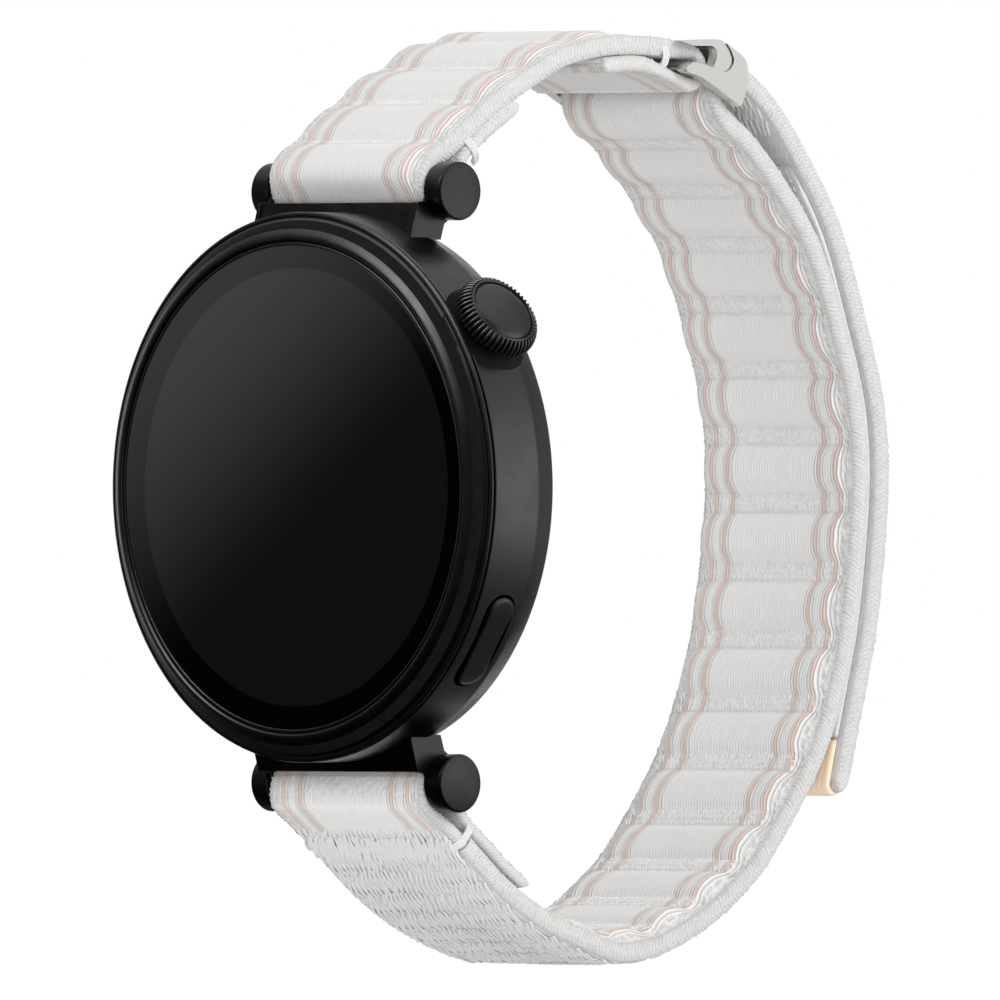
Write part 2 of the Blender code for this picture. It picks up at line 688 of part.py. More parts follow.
def make_knob(frame):
    """The crown's grip: a turned ring whose outer wall is cut into fine ridges."""
    low = CROWN_REACH - CROWN_LENGTH
    seat = CROWN_CAP_RADIUS + SEAM_GAP
    wall = CROWN_RADIUS - CROWN_EDGE
    bore = STEM_RADIUS + FIT_GAP
    rows = [(bore, low, 0.0), (wall, low, 0.0), (CROWN_RADIUS, low + CROWN_EDGE, 1.0),
            (CROWN_RADIUS, CROWN_REACH - CROWN_EDGE, 1.0), (wall, CROWN_REACH, 0.0),
            (seat, CROWN_REACH, 0.0), (seat, CROWN_REACH - CROWN_CAP_SINK, 0.0),
            (bore, CROWN_REACH - CROWN_CAP_SINK, 0.0)]
    shape = bmesh.new()
    count = 2 * CROWN_RIDGES
    rings = []
    for radius, height, ridged in rows:
        corners = []
        for index in range(count):
            turn = 2.0 * math.pi * index / count
            here = radius - ridged * CROWN_RIDGE_DEPTH * (index % 2)
            corners.append(shape.verts.new((here * math.cos(turn), here * math.sin(turn), height)))
        rings.append(corners)
    for first, second in zip(rings, rings[1:] + rings[:1]):
        for index in range(count):
            after = (index + 1) % count
            shape.faces.new((first[index], first[after], second[after], second[index]))
    bmesh.ops.recalc_face_normals(shape, faces=shape.faces)
    knob = new_object("crown_knob", mesh_of("crown_knob", shape), "black_metal")
    knob.matrix_world = frame


def make_crown():
    frame = radial_frame(CROWN_ANGLE, CROWN_HEIGHT)
    make_knob(frame)
    floor = CROWN_REACH - CROWN_CAP_SINK + FIT_GAP * 0.5
    cap = [(0.0, CROWN_REACH + CROWN_CAP_DOME),
           (CROWN_CAP_RADIUS * 0.55, CROWN_REACH + CROWN_CAP_DOME * 0.75),
           (CROWN_CAP_RADIUS * 0.9, CROWN_REACH + CROWN_CAP_DOME * 0.15),
           (CROWN_CAP_RADIUS, CROWN_REACH - CROWN_EDGE * 0.5),
           (CROWN_CAP_RADIUS, floor), (0.0, floor)]
    turned("crown_cap", cap, "black_metal", frame, 40)
    head_high = TUBE_INNER_END - FIT_GAP
    head_low = head_high - STEM_HEAD_LENGTH
    stem_top = CROWN_REACH - STEM_SEAT
    stem = [(0.0, stem_top), (STEM_RADIUS, stem_top), (STEM_RADIUS, head_high),
            (STEM_HEAD_RADIUS, head_high), (STEM_HEAD_RADIUS, head_low), (0.0, head_low)]
    turned("crown_stem", stem, "steel", frame, 20)
    tube_high = CROWN_POCKET_FLOOR + TUBE_PROUD
    tube = [(STEM_RADIUS + FIT_GAP, tube_high), (TUBE_RADIUS, tube_high),
            (TUBE_RADIUS, TUBE_INNER_END), (STEM_RADIUS + FIT_GAP, TUBE_INNER_END)]
    turned("crown_tube", tube, "steel", frame, 24)


def make_button():
    frame = radial_frame(BUTTON_ANGLE, BUTTON_HEIGHT)
    under = CASE_RADIUS - BUTTON_DEPTH
    button = pill("side_button", BUTTON_LENGTH, BUTTON_WIDTH, under, CASE_RADIUS + OVERRUN,
                  "black_metal", frame)
    crest = CASE_RADIUS + BUTTON_PROUD
    skin = disc("trim_button_face", crest, CASE_FOOT, SEAM_HEIGHT, None, 80)
    combine(button, skin, "INTERSECT")
    stem_low = SWITCH_FACE + BUTTON_TRAVEL + FIT_GAP
    weld(button, rod("join_button_stem", BUTTON_STEM_RADIUS, stem_low, under + OVERRUN * 0.5,
                     None, frame, 16))
    spring_low = under - BUTTON_WELL + SPRING_WIRE + LAYER_GAP
    spring_high = under - BUTTON_TRAVEL - SPRING_WIRE - LAYER_GAP
    coil = bpy.data.curves.new("button_spring", "CURVE")
    coil.dimensions = "3D"
    coil.bevel_depth = SPRING_WIRE
    coil.bevel_resolution = 1
    coil.use_fill_caps = True
    line = coil.splines.new("POLY")
    count = round(SPRING_TURNS * 12)
    line.points.add(count)
    for index in range(count + 1):
        turn = 2.0 * math.pi * SPRING_TURNS * index / count
        height = spring_low + (spring_high - spring_low) * index / count
        line.points[index].co = (SPRING_RADIUS * math.cos(turn), SPRING_RADIUS * math.sin(turn),
                                 height, 1.0)
    spring = bpy.data.objects.new("button_spring", coil)
    parts.objects.link(spring)
    coil.materials.append(finish_material("steel", *FINISHES["steel"]))
    spring.matrix_world = frame


# Lugs and spring bars

LUG_DEPTH = BAR_DEPTH * 0.615

LUG_SHARES = ((0.46, 0.820), (0.580, 0.950), (0.72, 0.960), (1.02, 0.890), (0.92, 0.800))
GUSSET_SHARES = ((0.46, 0.820), (0.575, 0.948), (0.70, 1.000), (1.02, 1.010), (1.03, 0.900),
                 (0.83, 0.800))


def lug_outline(shares, way):
    return [(behind(BAR_DEPTH * back), way * BAR_DISTANCE * up) for back, up in shares]


def lug_foot(name, way, grow, finish):
    """The foot that seats in the case side, or its pocket where it is grown."""
    low = CASE_RADIUS - LUG_FOOT_SINK - grow
    high = LUG_FOOT_TOP
    size = (LUG_FOOT_WIDTH + 2.0 * grow, LUG_FOOT_HEIGHT + 2.0 * grow, high - low)
    return block(name, size, (0.0, behind(LUG_DEPTH), way * (low + high) / 2.0), finish)


def screw_frame(way, side):
    """Local +Z points out of the case through the lug foot."""
    turn = Matrix.Rotation(0.0 if way > 0.0 else math.pi, 4, "X")
    place = Vector((side * SCREW_OFFSET, behind(LUG_DEPTH), 0.0))
    return Matrix.Translation(place) @ turn


def make_lug(label, way):
    flat = cross_frame(0.0, 0.0)
    lug = extruded(label + "_lug", lug_outline(LUG_SHARES, way), -LUG_HALF_WIDTH,
                   LUG_HALF_WIDTH, "black_metal", flat)
    bar = cross_frame(BAR_Y, way * BAR_DISTANCE)
    reach = BARREL_INNER + GUSSET_OVERLAP
    for side, end in ((1.0, "crown_side"), (-1.0, "far_side")):
        low, high = sorted((side * (LUG_HALF_WIDTH - GUSSET_OVERLAP), side * reach))
        weld(lug, extruded("join_gusset_" + label + end, lug_outline(GUSSET_SHARES, way),
                           low, high, None, flat))
    clear = BARREL_INNER - LAYER_GAP
    cut(lug, rod("cut_strap_room_" + label, LUG_CLEAR_RADIUS, -clear, clear, None, bar, 40))
    cut(lug, disc("cut_case_room_" + label, CASE_RADIUS + SEAM_GAP, 0.0, SEAM_HEIGHT, None, 80))
    weld(lug, lug_foot("join_foot_" + label, way, 0.0, None))
    for side, end in ((1.0, "crown_side"), (-1.0, "far_side")):
        outer = BARREL_INNER + BARREL_LENGTH
        barrel = [(0.0, outer + BARREL_CHAMFER * 0.6),
                  (BARREL_RADIUS * 0.6, outer + BARREL_CHAMFER * 0.45),
                  (BARREL_RADIUS - BARREL_CHAMFER, outer), (BARREL_RADIUS, outer - BARREL_CHAMFER),
                  (BARREL_RADIUS, BARREL_INNER), (0.0, BARREL_INNER)]
        facing = bar if side > 0.0 else bar @ Matrix.Rotation(math.pi, 4, "X")
        weld(lug, turned("join_barrel_" + label + end, barrel, None, facing, 40))
        hole = PIN_REACH + FIT_GAP
        cut(lug, rod("cut_pin_" + label + end, PIN_RADIUS + FIT_GAP, BARREL_INNER - OVERRUN,
                     BARREL_INNER + hole, None, facing, 16))
        screw = screw_frame(way, side)
        cut(lug, rod("cut_thread_" + label + end, SCREW_RADIUS + FIT_GAP / 3.0,
                     CASE_RADIUS - LUG_FOOT_SINK - OVERRUN, CASE_RADIUS - LUG_FOOT_SINK + SCREW_REACH,
                     None, screw, 12))
        make_screw(label + "_lug_screw_" + end, screw)


def make_screw(name, frame):
    half = SCREW_OFFSET + SCREW_HEAD_RADIUS
    seat = math.sqrt(BORE_RADIUS ** 2 - half ** 2) - FIT_GAP
    tip = CASE_RADIUS - LUG_FOOT_SINK + SCREW_REACH - FIT_GAP
    profile = [(0.0, tip), (SCREW_RADIUS, tip), (SCREW_RADIUS, seat), (SCREW_HEAD_RADIUS, seat),
               (SCREW_HEAD_RADIUS, seat - SCREW_HEAD_HEIGHT), (0.0, seat - SCREW_HEAD_HEIGHT)]
    turned(name, profile, "steel", frame, 12)


def make_spring_bar(label, way):
    """A bar with one fixed pin, and a sprung pin that the release lever draws in."""
    frame = cross_frame(BAR_Y, way * BAR_DISTANCE)
    end = STRAP_HALF_WIDTH
    bar = rod(label + "_spring_bar", BAR_RADIUS, -end, end, "steel", frame, 24)
    weld(bar, rod("join_fixed_pin_" + label, PIN_RADIUS, -BARREL_INNER - PIN_REACH, -end + OVERRUN,
                  None, frame, 12))
    shank = end - PIN_SHANK - RELEASE_TRAVEL - FIT_GAP
    cut(bar, rod("cut_pin_bore_" + label, PIN_RADIUS + LAYER_GAP, shank, end + OVERRUN,
                 None, frame, 16))
    low = LEVER_OFFSET - LEVER_RADIUS - RELEASE_TRAVEL - LAYER_GAP * 2.0
    high = LEVER_OFFSET + LEVER_RADIUS + LAYER_GAP * 2.0
    slot = (LEVER_REACH, 2.0 * (LEVER_RADIUS + LAYER_GAP), high - low)
    lever_frame = frame @ Matrix.Rotation(way * LEVER_TURN, 4, "Z")
    cut(bar, block("cut_lever_slot_" + label, slot, (LEVER_REACH / 2.0, 0.0, (low + high) / 2.0),
                   None, lever_frame))
    lever = rod(label + "_release_lever", PIN_RADIUS, end - PIN_SHANK,
                BARREL_INNER + PIN_REACH, "steel", frame, 12)
    thumb_frame = (lever_frame @ Matrix.Translation(Vector((0.0, 0.0, LEVER_OFFSET)))
                   @ Matrix.Rotation(math.pi / 2.0, 4, "Y"))
    weld(lever, rod("join_lever_" + label, LEVER_RADIUS, 0.0, LEVER_REACH, None, thumb_frame, 12))


# Strap

FOLD_RADIUS = FRONT_BAR_RADIUS + POCKET_SLACK + FOLD_THICKNESS / 2.0
END_RADIUS = REAR_BAR_THICKNESS / 2.0 + POCKET_SLACK + END_THICKNESS / 2.0
POCKET_RADIUS = BAR_RADIUS + BAR_SLACK + POCKET_THICKNESS / 2.0
FLAP_SPACING = (STRAP_THICKNESS + FLAP_THICKNESS) / 2.0 + LAYER_GAP


def cut_lever_room(strap, label, way):
    """The notch in the pocket that the quick-release lever reaches through."""
    frame = cross_frame(BAR_Y, way * BAR_DISTANCE) @ Matrix.Rotation(way * LEVER_TURN, 4, "Z")
    low = LEVER_OFFSET - LEVER_RADIUS - RELEASE_TRAVEL - FIT_GAP
    high = LEVER_OFFSET + LEVER_RADIUS + FIT_GAP
    size = (LEVER_REACH + FIT_GAP, 2.0 * (LEVER_RADIUS + FIT_GAP), high - low)
    centre = ((size[0] + BAR_RADIUS) / 2.0, 0.0, (low + high) / 2.0)
    cut(strap, block("cut_lever_room_" + label, size, centre, None, frame))


def pocket_arc(way, count):
    """Round the spring bar, close to it on the case side and roomier away from the case."""
    half = POCKET_THICKNESS / 2.0
    made = []
    for index in range(count + 1):
        turn = way * math.radians(15.0 - 220.0 * index / count)
        radius = POCKET_RADIUS + POCKET_BULGE * (1.0 + way * math.sin(turn)) / 2.0
        ray = Vector((math.cos(turn), math.sin(turn)))
        made.append(station(Vector((BAR_Y, way * BAR_DISTANCE)) + radius * ray, half, half))
    return made


def make_upper_strap():
    """From its inner flap round the spring bar, over to the buckle, and back as a flap."""
    half = STRAP_THICKNESS / 2.0
    flap = FLAP_THICKNESS / 2.0
    end = END_THICKNESS / 2.0
    layer = [station(loop_point(shares), half, half) for shares in UPPER_STRAP_SHARES]
    bar = Vector((BAR_Y, BAR_DISTANCE))
    lug_flap = [station(beside(layer, index, -FLAP_SPACING), flap, flap) for index in (3, 2)]
    neck = bar + POCKET_RADIUS * Vector((1.75, 1.90))
    lug_flap.append(station(neck, flap, flap))
    round_bar = pocket_arc(1.0, 12)
    bend = REAR_BAR + Vector(((REAR_BAR_LENGTH - REAR_BAR_THICKNESS) / 2.0, 0.0))
    round_end = arc(bend, END_RADIUS, 80.0, -100.0, 8, end, end)
    buckle_flap = [station(REAR_BAR + END_RADIUS * Vector((-1.55, -0.40)), flap, flap)]
    buckle_flap += [station(beside(layer, index, -FLAP_SPACING), flap, flap) for index in (7, 6)]
    route = smooth_route(lug_flap + round_bar + layer + round_end + buckle_flap, STRAP_STEP)
    lead = travelled(lug_flap + round_bar)[-1]
    trail = travelled(layer[-2:] + round_end + buckle_flap)[-1]
    strap = hang_on(ribbon("upper_strap", swollen(route, lead, trail), "weave"), bar)
    cut_lever_room(strap, "upper", 1.0)


def long_strap_route():
    half = STRAP_THICKNESS / 2.0
    fold = FOLD_THICKNESS / 2.0
    points = [station(loop_point(shares), half * shares[2], half)
              for shares in LONG_STRAP_SHARES]
    points.append(station(FRONT_BAR + FOLD_RADIUS * Vector((-1.0, -1.1)), fold, fold))
    points += arc(FRONT_BAR, FOLD_RADIUS, 180.0, math.degrees(FOLD_END), 8, fold, fold)
    return points


def make_long_strap():
    """From the sleeve at the lower lug, round the wrist, and over the buckle's front bar."""
    points = long_strap_route()
    route = smooth_route(points, STRAP_STEP)
    strap = ribbon("long_strap", swollen(route, SLEEVE_REACH, FOLD_REACH), "weave")
    hang_on(strap, Vector((BAR_Y, -BAR_DISTANCE)))
    return points


def make_sleeve(points):
    """The folded sleeve that joins the long strap to the lower spring bar."""
    flap = FLAP_THICKNESS / 2.0
    leg = LEG_THICKNESS / 2.0
    bar = Vector((BAR_Y, -BAR_DISTANCE))
    inner_leg = [station(beside(points, index, FLAP_SPACING), flap, flap) for index in (3, 2, 1)]
    inner_leg.append(station(bar + POCKET_RADIUS * Vector((1.75, -1.90)), flap, flap))
    first = Vector(points[0][:2])
    ahead = (Vector(points[1][:2]) - first).normalized()
    sink = left_of(points, 0) * (STRAP_THICKNESS / 2.0 - leg)
    outer_leg = [station(first - ahead * reach - sink, leg, leg)
                 for reach in (STRAP_THICKNESS, SLEEVE_BUTT)]
    route = smooth_route(inner_leg + pocket_arc(-1.0, 12) + outer_leg, STRAP_STEP)
    sleeve = hang_on(ribbon("lower_strap_sleeve", route, "weave"), bar)
    cut_lever_room(sleeve, "lower", -1.0)


def tail_places(points):
    """Places of the tail's middle, from the fold down over the outside of the long strap."""
    spacing = STRAP_THICKNESS + HOOK_THICKNESS + 2.0 * LAYER_GAP
    order = list(range(len(LONG_STRAP_SHARES) - 2, TAIL_LAST, -1))
    lengths = travelled([points[index] for index in order])
    made = [FRONT_BAR + FOLD_RADIUS * Vector((math.cos(FOLD_END), math.sin(FOLD_END)))]
    for index, length in zip(order, lengths):
        bulge = TAIL_BULGE * max(0.0, 1.0 - length / TAIL_BULGE_LENGTH) ** 1.5
        lift = TAIL_LIFT * max(0.0, 1.0 - (lengths[-1] - length) / TAIL_LIFT_LENGTH) ** 2
        made.append(beside(points, index, -(spacing + bulge + lift)))
    return made


def make_tail(points):
    """The free end, its hook patch and its finger tab, all on the outside of the loop."""
    half = STRAP_THICKNESS / 2.0
    route = smooth_route([station(place, half, half) for place in tail_places(points)],
                         STRAP_STEP)
    route = trimmed(route, TAIL_SEAM, TAIL_CUT)
    cloth = rounded_end(route, TAIL_ROUND)
    hinge = FRONT_BAR + (FOLD_RADIUS + FOLD_THICKNESS / 2.0) * Vector(
        (math.cos(FOLD_END), math.sin(FOLD_END)))
    hang_on(ribbon("strap_tail", swollen(cloth, 0.0, 0.0), "weave"), hinge)
    depth = half + LAYER_GAP + HOOK_THICKNESS / 2.0
    thin = HOOK_THICKNESS / 2.0
    lining = [station(beside(route, index, -depth), thin, thin) for index in range(len(route))]
    whole = travelled(lining)[-1]
    narrow = STRAP_HALF_WIDTH - PATCH_INSET
    patch = trimmed(lining, PATCH_START, TAB_MARGIN + TAB_LENGTH + SEAM_GAP)
    hang_on(ribbon("hook_patch", patch, "hook_tape", narrow, HOOK_THICKNESS), hinge)
    tab = trimmed(lining, whole - TAB_LENGTH - TAB_MARGIN, TAB_MARGIN)
    hang_on(ribbon("end_tab", tab, "peach_tape", narrow, HOOK_THICKNESS), hinge)


def trimmed(route, from_start, from_end):
    """A route without its first and last stretch."""
    lengths = travelled(route)
    low = from_start
    high = lengths[-1] - from_end
    made = [read_at(route, lengths, low)]
    made += [place for place, length in zip(route, lengths)
             if low + FIT_GAP < length < high - FIT_GAP]
    made.append(read_at(route, lengths, high))
    return made


def rounded_end(route, radius):
    """Round the outer corner of a cut end, in three more stations."""
    lengths = travelled(route)
    made = [place for place, length in zip(route, lengths) if length < lengths[-1] - radius]
    normal = left_of(route, len(route) - 1)
    for back, sink in END_SHARES:
        place = read_at(route, lengths, lengths[-1] - back * radius)
        less = sink * radius / 2.0
        made.append(place - Vector((normal.x * less, normal.y * less, less, less)))
    return made


def make_strap():
    make_upper_strap()
    points = make_long_strap()
    make_sleeve(points)
    make_tail(points)


# Buckle

def buckle_outline(shares):
    return [(FRONT_BAR.x + back * BUCKLE_SPAN, FRONT_BAR.y + up * BUCKLE_SPAN)
            for back, up in shares]


def make_buckle():
    """Two side plates, a flat rear bar, a round front bar and the hood between them."""
    flat = cross_frame(0.0, 0.0)
    inner = STRAP_HALF_WIDTH + LAYER_GAP
    outer = inner + CHEEK_THICKNESS
    plate = buckle_outline(CHEEK_SHARES)
    buckle = extruded("buckle_frame", plate, inner, outer, "warm_metal", flat)
    weld(buckle, extruded("join_far_cheek", plate, -outer, -inner, None, flat))
    reach = inner + CHEEK_THICKNESS / 2.0
    weld(buckle, extruded("join_hood", buckle_outline(HOOD_SHARES), -reach, reach, None, flat))
    tilt = Matrix.Rotation(BUCKLE_TILT, 4, "Z")
    rear = cross_frame(REAR_BAR.x, REAR_BAR.y) @ tilt
    weld(buckle, pill("join_rear_bar", REAR_BAR_LENGTH, REAR_BAR_THICKNESS, -reach, reach,
                      None, rear))
    front = cross_frame(FRONT_BAR.x, FRONT_BAR.y)
    weld(buckle, rod("join_front_bar", FRONT_BAR_RADIUS, -reach, reach, None, front, 16))
    bevel(buckle, CHEEK_EDGE)
    hinge = Matrix.Translation(Vector((0.0, REAR_BAR.x, REAR_BAR.y)))
    buckle.data.transform(hinge.inverted() @ buckle.matrix_world)
    buckle.matrix_world = hinge


def main():
    clear_scene()
    make_case()
    make_bezel()
    make_insides(make_glass())
    make_back()
    make_crown()
    make_button()
    for label, way in (("upper", 1.0), ("lower", -1.0)):
        make_lug(label, way)
        make_spring_bar(label, way)
    make_strap()
    make_buckle()


main()
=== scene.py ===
"""Round smart watch on a woven hook and loop strap: looks.

The tables are millimetres in the part's own frame: origin on the wrist face, +X towards 3
o'clock, +Z towards 12 o'clock, and the display looks along -Y. A station of a strap is
(Y, Z, left, right): its middle line, and how far the cloth reaches to each side of it.
"""

import math
import random

import bpy
import bmesh
from mathutils import Matrix, Vector


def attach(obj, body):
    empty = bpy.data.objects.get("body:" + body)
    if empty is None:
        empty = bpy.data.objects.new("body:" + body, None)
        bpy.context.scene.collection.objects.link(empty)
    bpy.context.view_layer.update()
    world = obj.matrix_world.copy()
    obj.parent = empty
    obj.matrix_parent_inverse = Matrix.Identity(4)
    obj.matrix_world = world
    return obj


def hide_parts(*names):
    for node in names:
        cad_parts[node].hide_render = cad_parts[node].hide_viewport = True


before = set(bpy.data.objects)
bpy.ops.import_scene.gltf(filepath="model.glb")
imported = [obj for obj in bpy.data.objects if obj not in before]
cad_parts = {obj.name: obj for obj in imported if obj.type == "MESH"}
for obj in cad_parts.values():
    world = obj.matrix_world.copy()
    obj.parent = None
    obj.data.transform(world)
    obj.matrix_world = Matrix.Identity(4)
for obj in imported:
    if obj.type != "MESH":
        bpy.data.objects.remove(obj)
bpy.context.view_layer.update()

MM = 0.001
CLOSE = 0.0005 * MM     # corners nearer than this are one

# Case
CASE_RADIUS = 20.88
SEAM_HEIGHT = 9.2
SIDE_BAND = 4.65
CASE_FOOT = 2.3
BORE_RADIUS = 17.6
BACK_SEAT_RADIUS = 18.9
GLASS_RADIUS = 18.42
ACTIVE_RADIUS = 16.63
WINDOW_RADIUS = 12.53

# Crown and button
CROWN_ANGLE = math.radians(35.5)
CROWN_HEIGHT = 6.2
CROWN_REACH = 23.1
CROWN_RIDGES = 50
BUTTON_ANGLE = math.radians(-34.7)
BUTTON_HEIGHT = 6.35
BUTTON_LENGTH = 8.0
BUTTON_WIDTH = 2.6

# Lugs and bars: half lengths and reaches are across the strap
LUG_HALF = 8.5
LUG_PLATE = (8.42, 8.78)
BAR_Y = -2.7
BAR_DISTANCE = 22.45
BARREL_INNER = 8.8
BARREL_LENGTH = 1.6
BARREL_RADIUS = 2.23
LUG_OUTLINE = ((-6.25, 18.0), (-6.10, 19.30), (-5.45, 21.58), (-4.55, 21.60), (-2.57, 19.98),
               (-3.22, 17.96))
PLATE_EDGE = ((-6.50, 18.0), (-6.30, 19.30), (-5.62, 21.60), (-4.80, 21.72), (-4.30, 22.60),
              (-2.70, 22.90), (-1.60, 21.60), (-2.30, 20.30), (-2.75, 20.02), (-3.20, 19.65),
              (-3.62, 19.20), (-3.90, 18.85), (-3.95, 17.96))

# Strap
HALF_WIDTH = 8.5
SELVEDGE = 0.62         # how far in from the edge its rounding starts
CLOTH_REACH = 0.75
TAPE_HALF = 7.9
TAPE_REACH = 0.2
PITCH = 5.33            # from one padded cell to the next
CELL_SHARE = 0.715      # how much of it is the cell
UPPER_SHARE = 0.88
STRIPES = (5.0, 6.8)
SEAM_LINE = 7.55
SHEET = 20.0            # millimetres of cloth to one unit of its UV map
STEP = 0.25             # from one ring of a band to the next
FRONT_BAR = (27.764, 30.891)
REAR_BAR = (23.214, 31.942)


def stations(table, reach=CLOTH_REACH):
    """Stations from (Y, Z), (Y, Z, left) or all four; the rest is the same reach."""
    return [item + (reach, reach)[len(item) - 2:] for item in table]


LONG_ROUTE = stations((
    (-0.03, -27.05), (1.68, -28.49), (3.54, -29.99), (5.68, -31.41, 0.79), (8.30, -32.80, 0.90),
    (10.91, -33.85, 1.05), (13.48, -34.71, 1.20), (16.39, -35.40, 1.31), (19.81, -35.09, 1.39),
    (23.19, -33.94, 1.39), (26.48, -32.26, 1.35), (29.48, -30.11, 1.28), (31.48, -28.31, 1.20),
    (34.90, -24.00, 1.12), (37.52, -20.00, 1.12), (39.57, -15.11, 1.05), (40.90, -9.50, 0.86),
    (41.95, -0.20, 0.79), (41.52, 5.99, 0.79), (39.57, 12.30), (36.76, 18.59), (33.14, 23.19),
    (29.91, 26.33), (27.81, 27.84), (26.46, 29.46, 0.60, 0.60)))
UPPER_LAYER = stations((
    (-2.70, 25.19), (-0.56, 26.54), (1.87, 28.29), (4.44, 29.86), (7.11, 31.21), (10.25, 32.66),
    (14.39, 33.50), (18.48, 33.65), (21.48, 33.45)))
LUG_FLAP = stations(((5.30, 29.06, 0.68, 0.68), (2.47, 27.36, 0.68, 0.68), (-0.34, 25.02)), 0.50)
BUCKLE_FLAP = stations(((18.47, 32.26), (14.35, 32.12)), 0.62)
SLEEVE_LEG = stations(((6.36, -30.24), (4.33, -28.90), (2.54, -27.45), (-0.34, -25.02)), 0.45)
SLEEVE_HEM = stations(((-1.31, -26.24), (-0.32, -27.08)), 0.55)
TAIL_ROUTE = stations((
    (28.76, 31.73), (32.27, 29.05), (35.47, 25.25), (38.99, 19.90), (41.64, 13.08), (43.68, 6.41),
    (44.15, -0.29), (43.07, -9.84), (41.66, -15.78), (40.18, -21.40), (38.95, -26.94)))
TAIL_LENGTH = 60.4

# Buckle: side plate and hood, as points behind and above the front bar
PLATE_OUTLINE = (
    (-6.258, 3.129), (-4.670, 3.222), (-2.428, 3.250), (-1.681, 2.989), (-0.841, 2.522),
    (-0.093, 2.102), (0.467, 1.541), (0.630, 0.607), (0.467, -0.420), (0.000, -1.681),
    (-0.467, -1.634), (-4.016, 0.234), (-5.604, 0.701), (-5.884, 1.074), (-4.950, 1.518),
    (-3.129, 1.144), (-2.849, 1.308), (-2.615, 1.728), (-2.545, 2.242), (-2.709, 2.568),
    (-3.176, 2.755), (-4.763, 2.755), (-5.604, 2.942))
HOOD_OUTLINE = ((-3.082, 2.778), (-3.082, 3.204), (-2.428, 3.213), (-1.775, 2.951),
                (-1.798, 1.448), (-2.125, 1.448), (-2.195, 2.592))
HOOD_INSET = ((-7.0, 3.8), (-1.72, 3.8), (-1.60, 2.95), (-1.12, 2.35), (-0.86, 1.80),
              (-0.92, 1.40), (-1.25, 0.98), (-1.75, 0.78), (-2.40, 0.80), (-2.95, 1.25),
              (-7.0, 1.6))
PLATE_INNER = 8.65
PLATE_OUTER = 9.70
INSET_DEPTH = 0.13
BAR_HALF = 9.0

# Light: how bright the surroundings are, and lamps as (name, place, size, power)
AMBIENT = 0.66
LAMPS = (("key", (-0.15, -0.55, 0.42), 0.35, 0.8), ("fill", (0.55, -0.38, 0.06), 0.35, 1.6),
         ("side", (0.62, 0.02, 0.30), 0.35, 2.4), ("back", (0.10, 0.50, 0.40), 0.40, 0.5))
LAMP_AIM = (0.0, 0.01, 0.0)
FLOOR_HEIGHT = -0.0366
FLOOR_HALF = 3.0

# Camera: level, and aimed beside, above and beyond the origin
FOCAL_LENGTH = 1600.0
AZIMUTH = math.radians(46.1)
DISTANCE = 3.3858
AIM_ASIDE, AIM_UP, AIM_AHEAD = 0.008254, -0.00097, 0.008


# Nodes and materials

class Signal:
    """What a node puts out. Arithmetic on it adds further nodes to the same tree."""

    def __init__(self, nodes, socket):
        self.nodes, self.socket = nodes, socket

    def __add__(self, other):
        return self.nodes.math("ADD", self, other)

    def __sub__(self, other):
        return self.nodes.math("SUBTRACT", self, other)

    def __rsub__(self, other):
        return self.nodes.math("SUBTRACT", other, self)

    def __mul__(self, other):
        return self.nodes.math("MULTIPLY", self, other)

    def __truediv__(self, other):
        return self.nodes.math("DIVIDE", self, other)

    def __abs__(self):
        return self.nodes.math("ABSOLUTE", self)

    def least(self, other):
        return self.nodes.math("MINIMUM", self, other)

    def most(self, other):
        return self.nodes.math("MAXIMUM", self, other)

    def fold(self, width):
        """Up and down again between nought and a width."""
        return self.nodes.math("PINGPONG", self, width)

    def fract(self):
        return self.nodes.math("FRACT", self)

    def away(self, other):
        """The length of the two together, as sides of a right angle."""
        return self.nodes.math("SQRT", self * self + other * other)

    def step(self, low, high, first=0.0, last=1.0):
        """Read from low to high, as a smooth step from first to last."""
        return self.nodes.read("ShaderNodeMapRange", (self, low, high, first, last),
                               interpolation_type="SMOOTHSTEP")


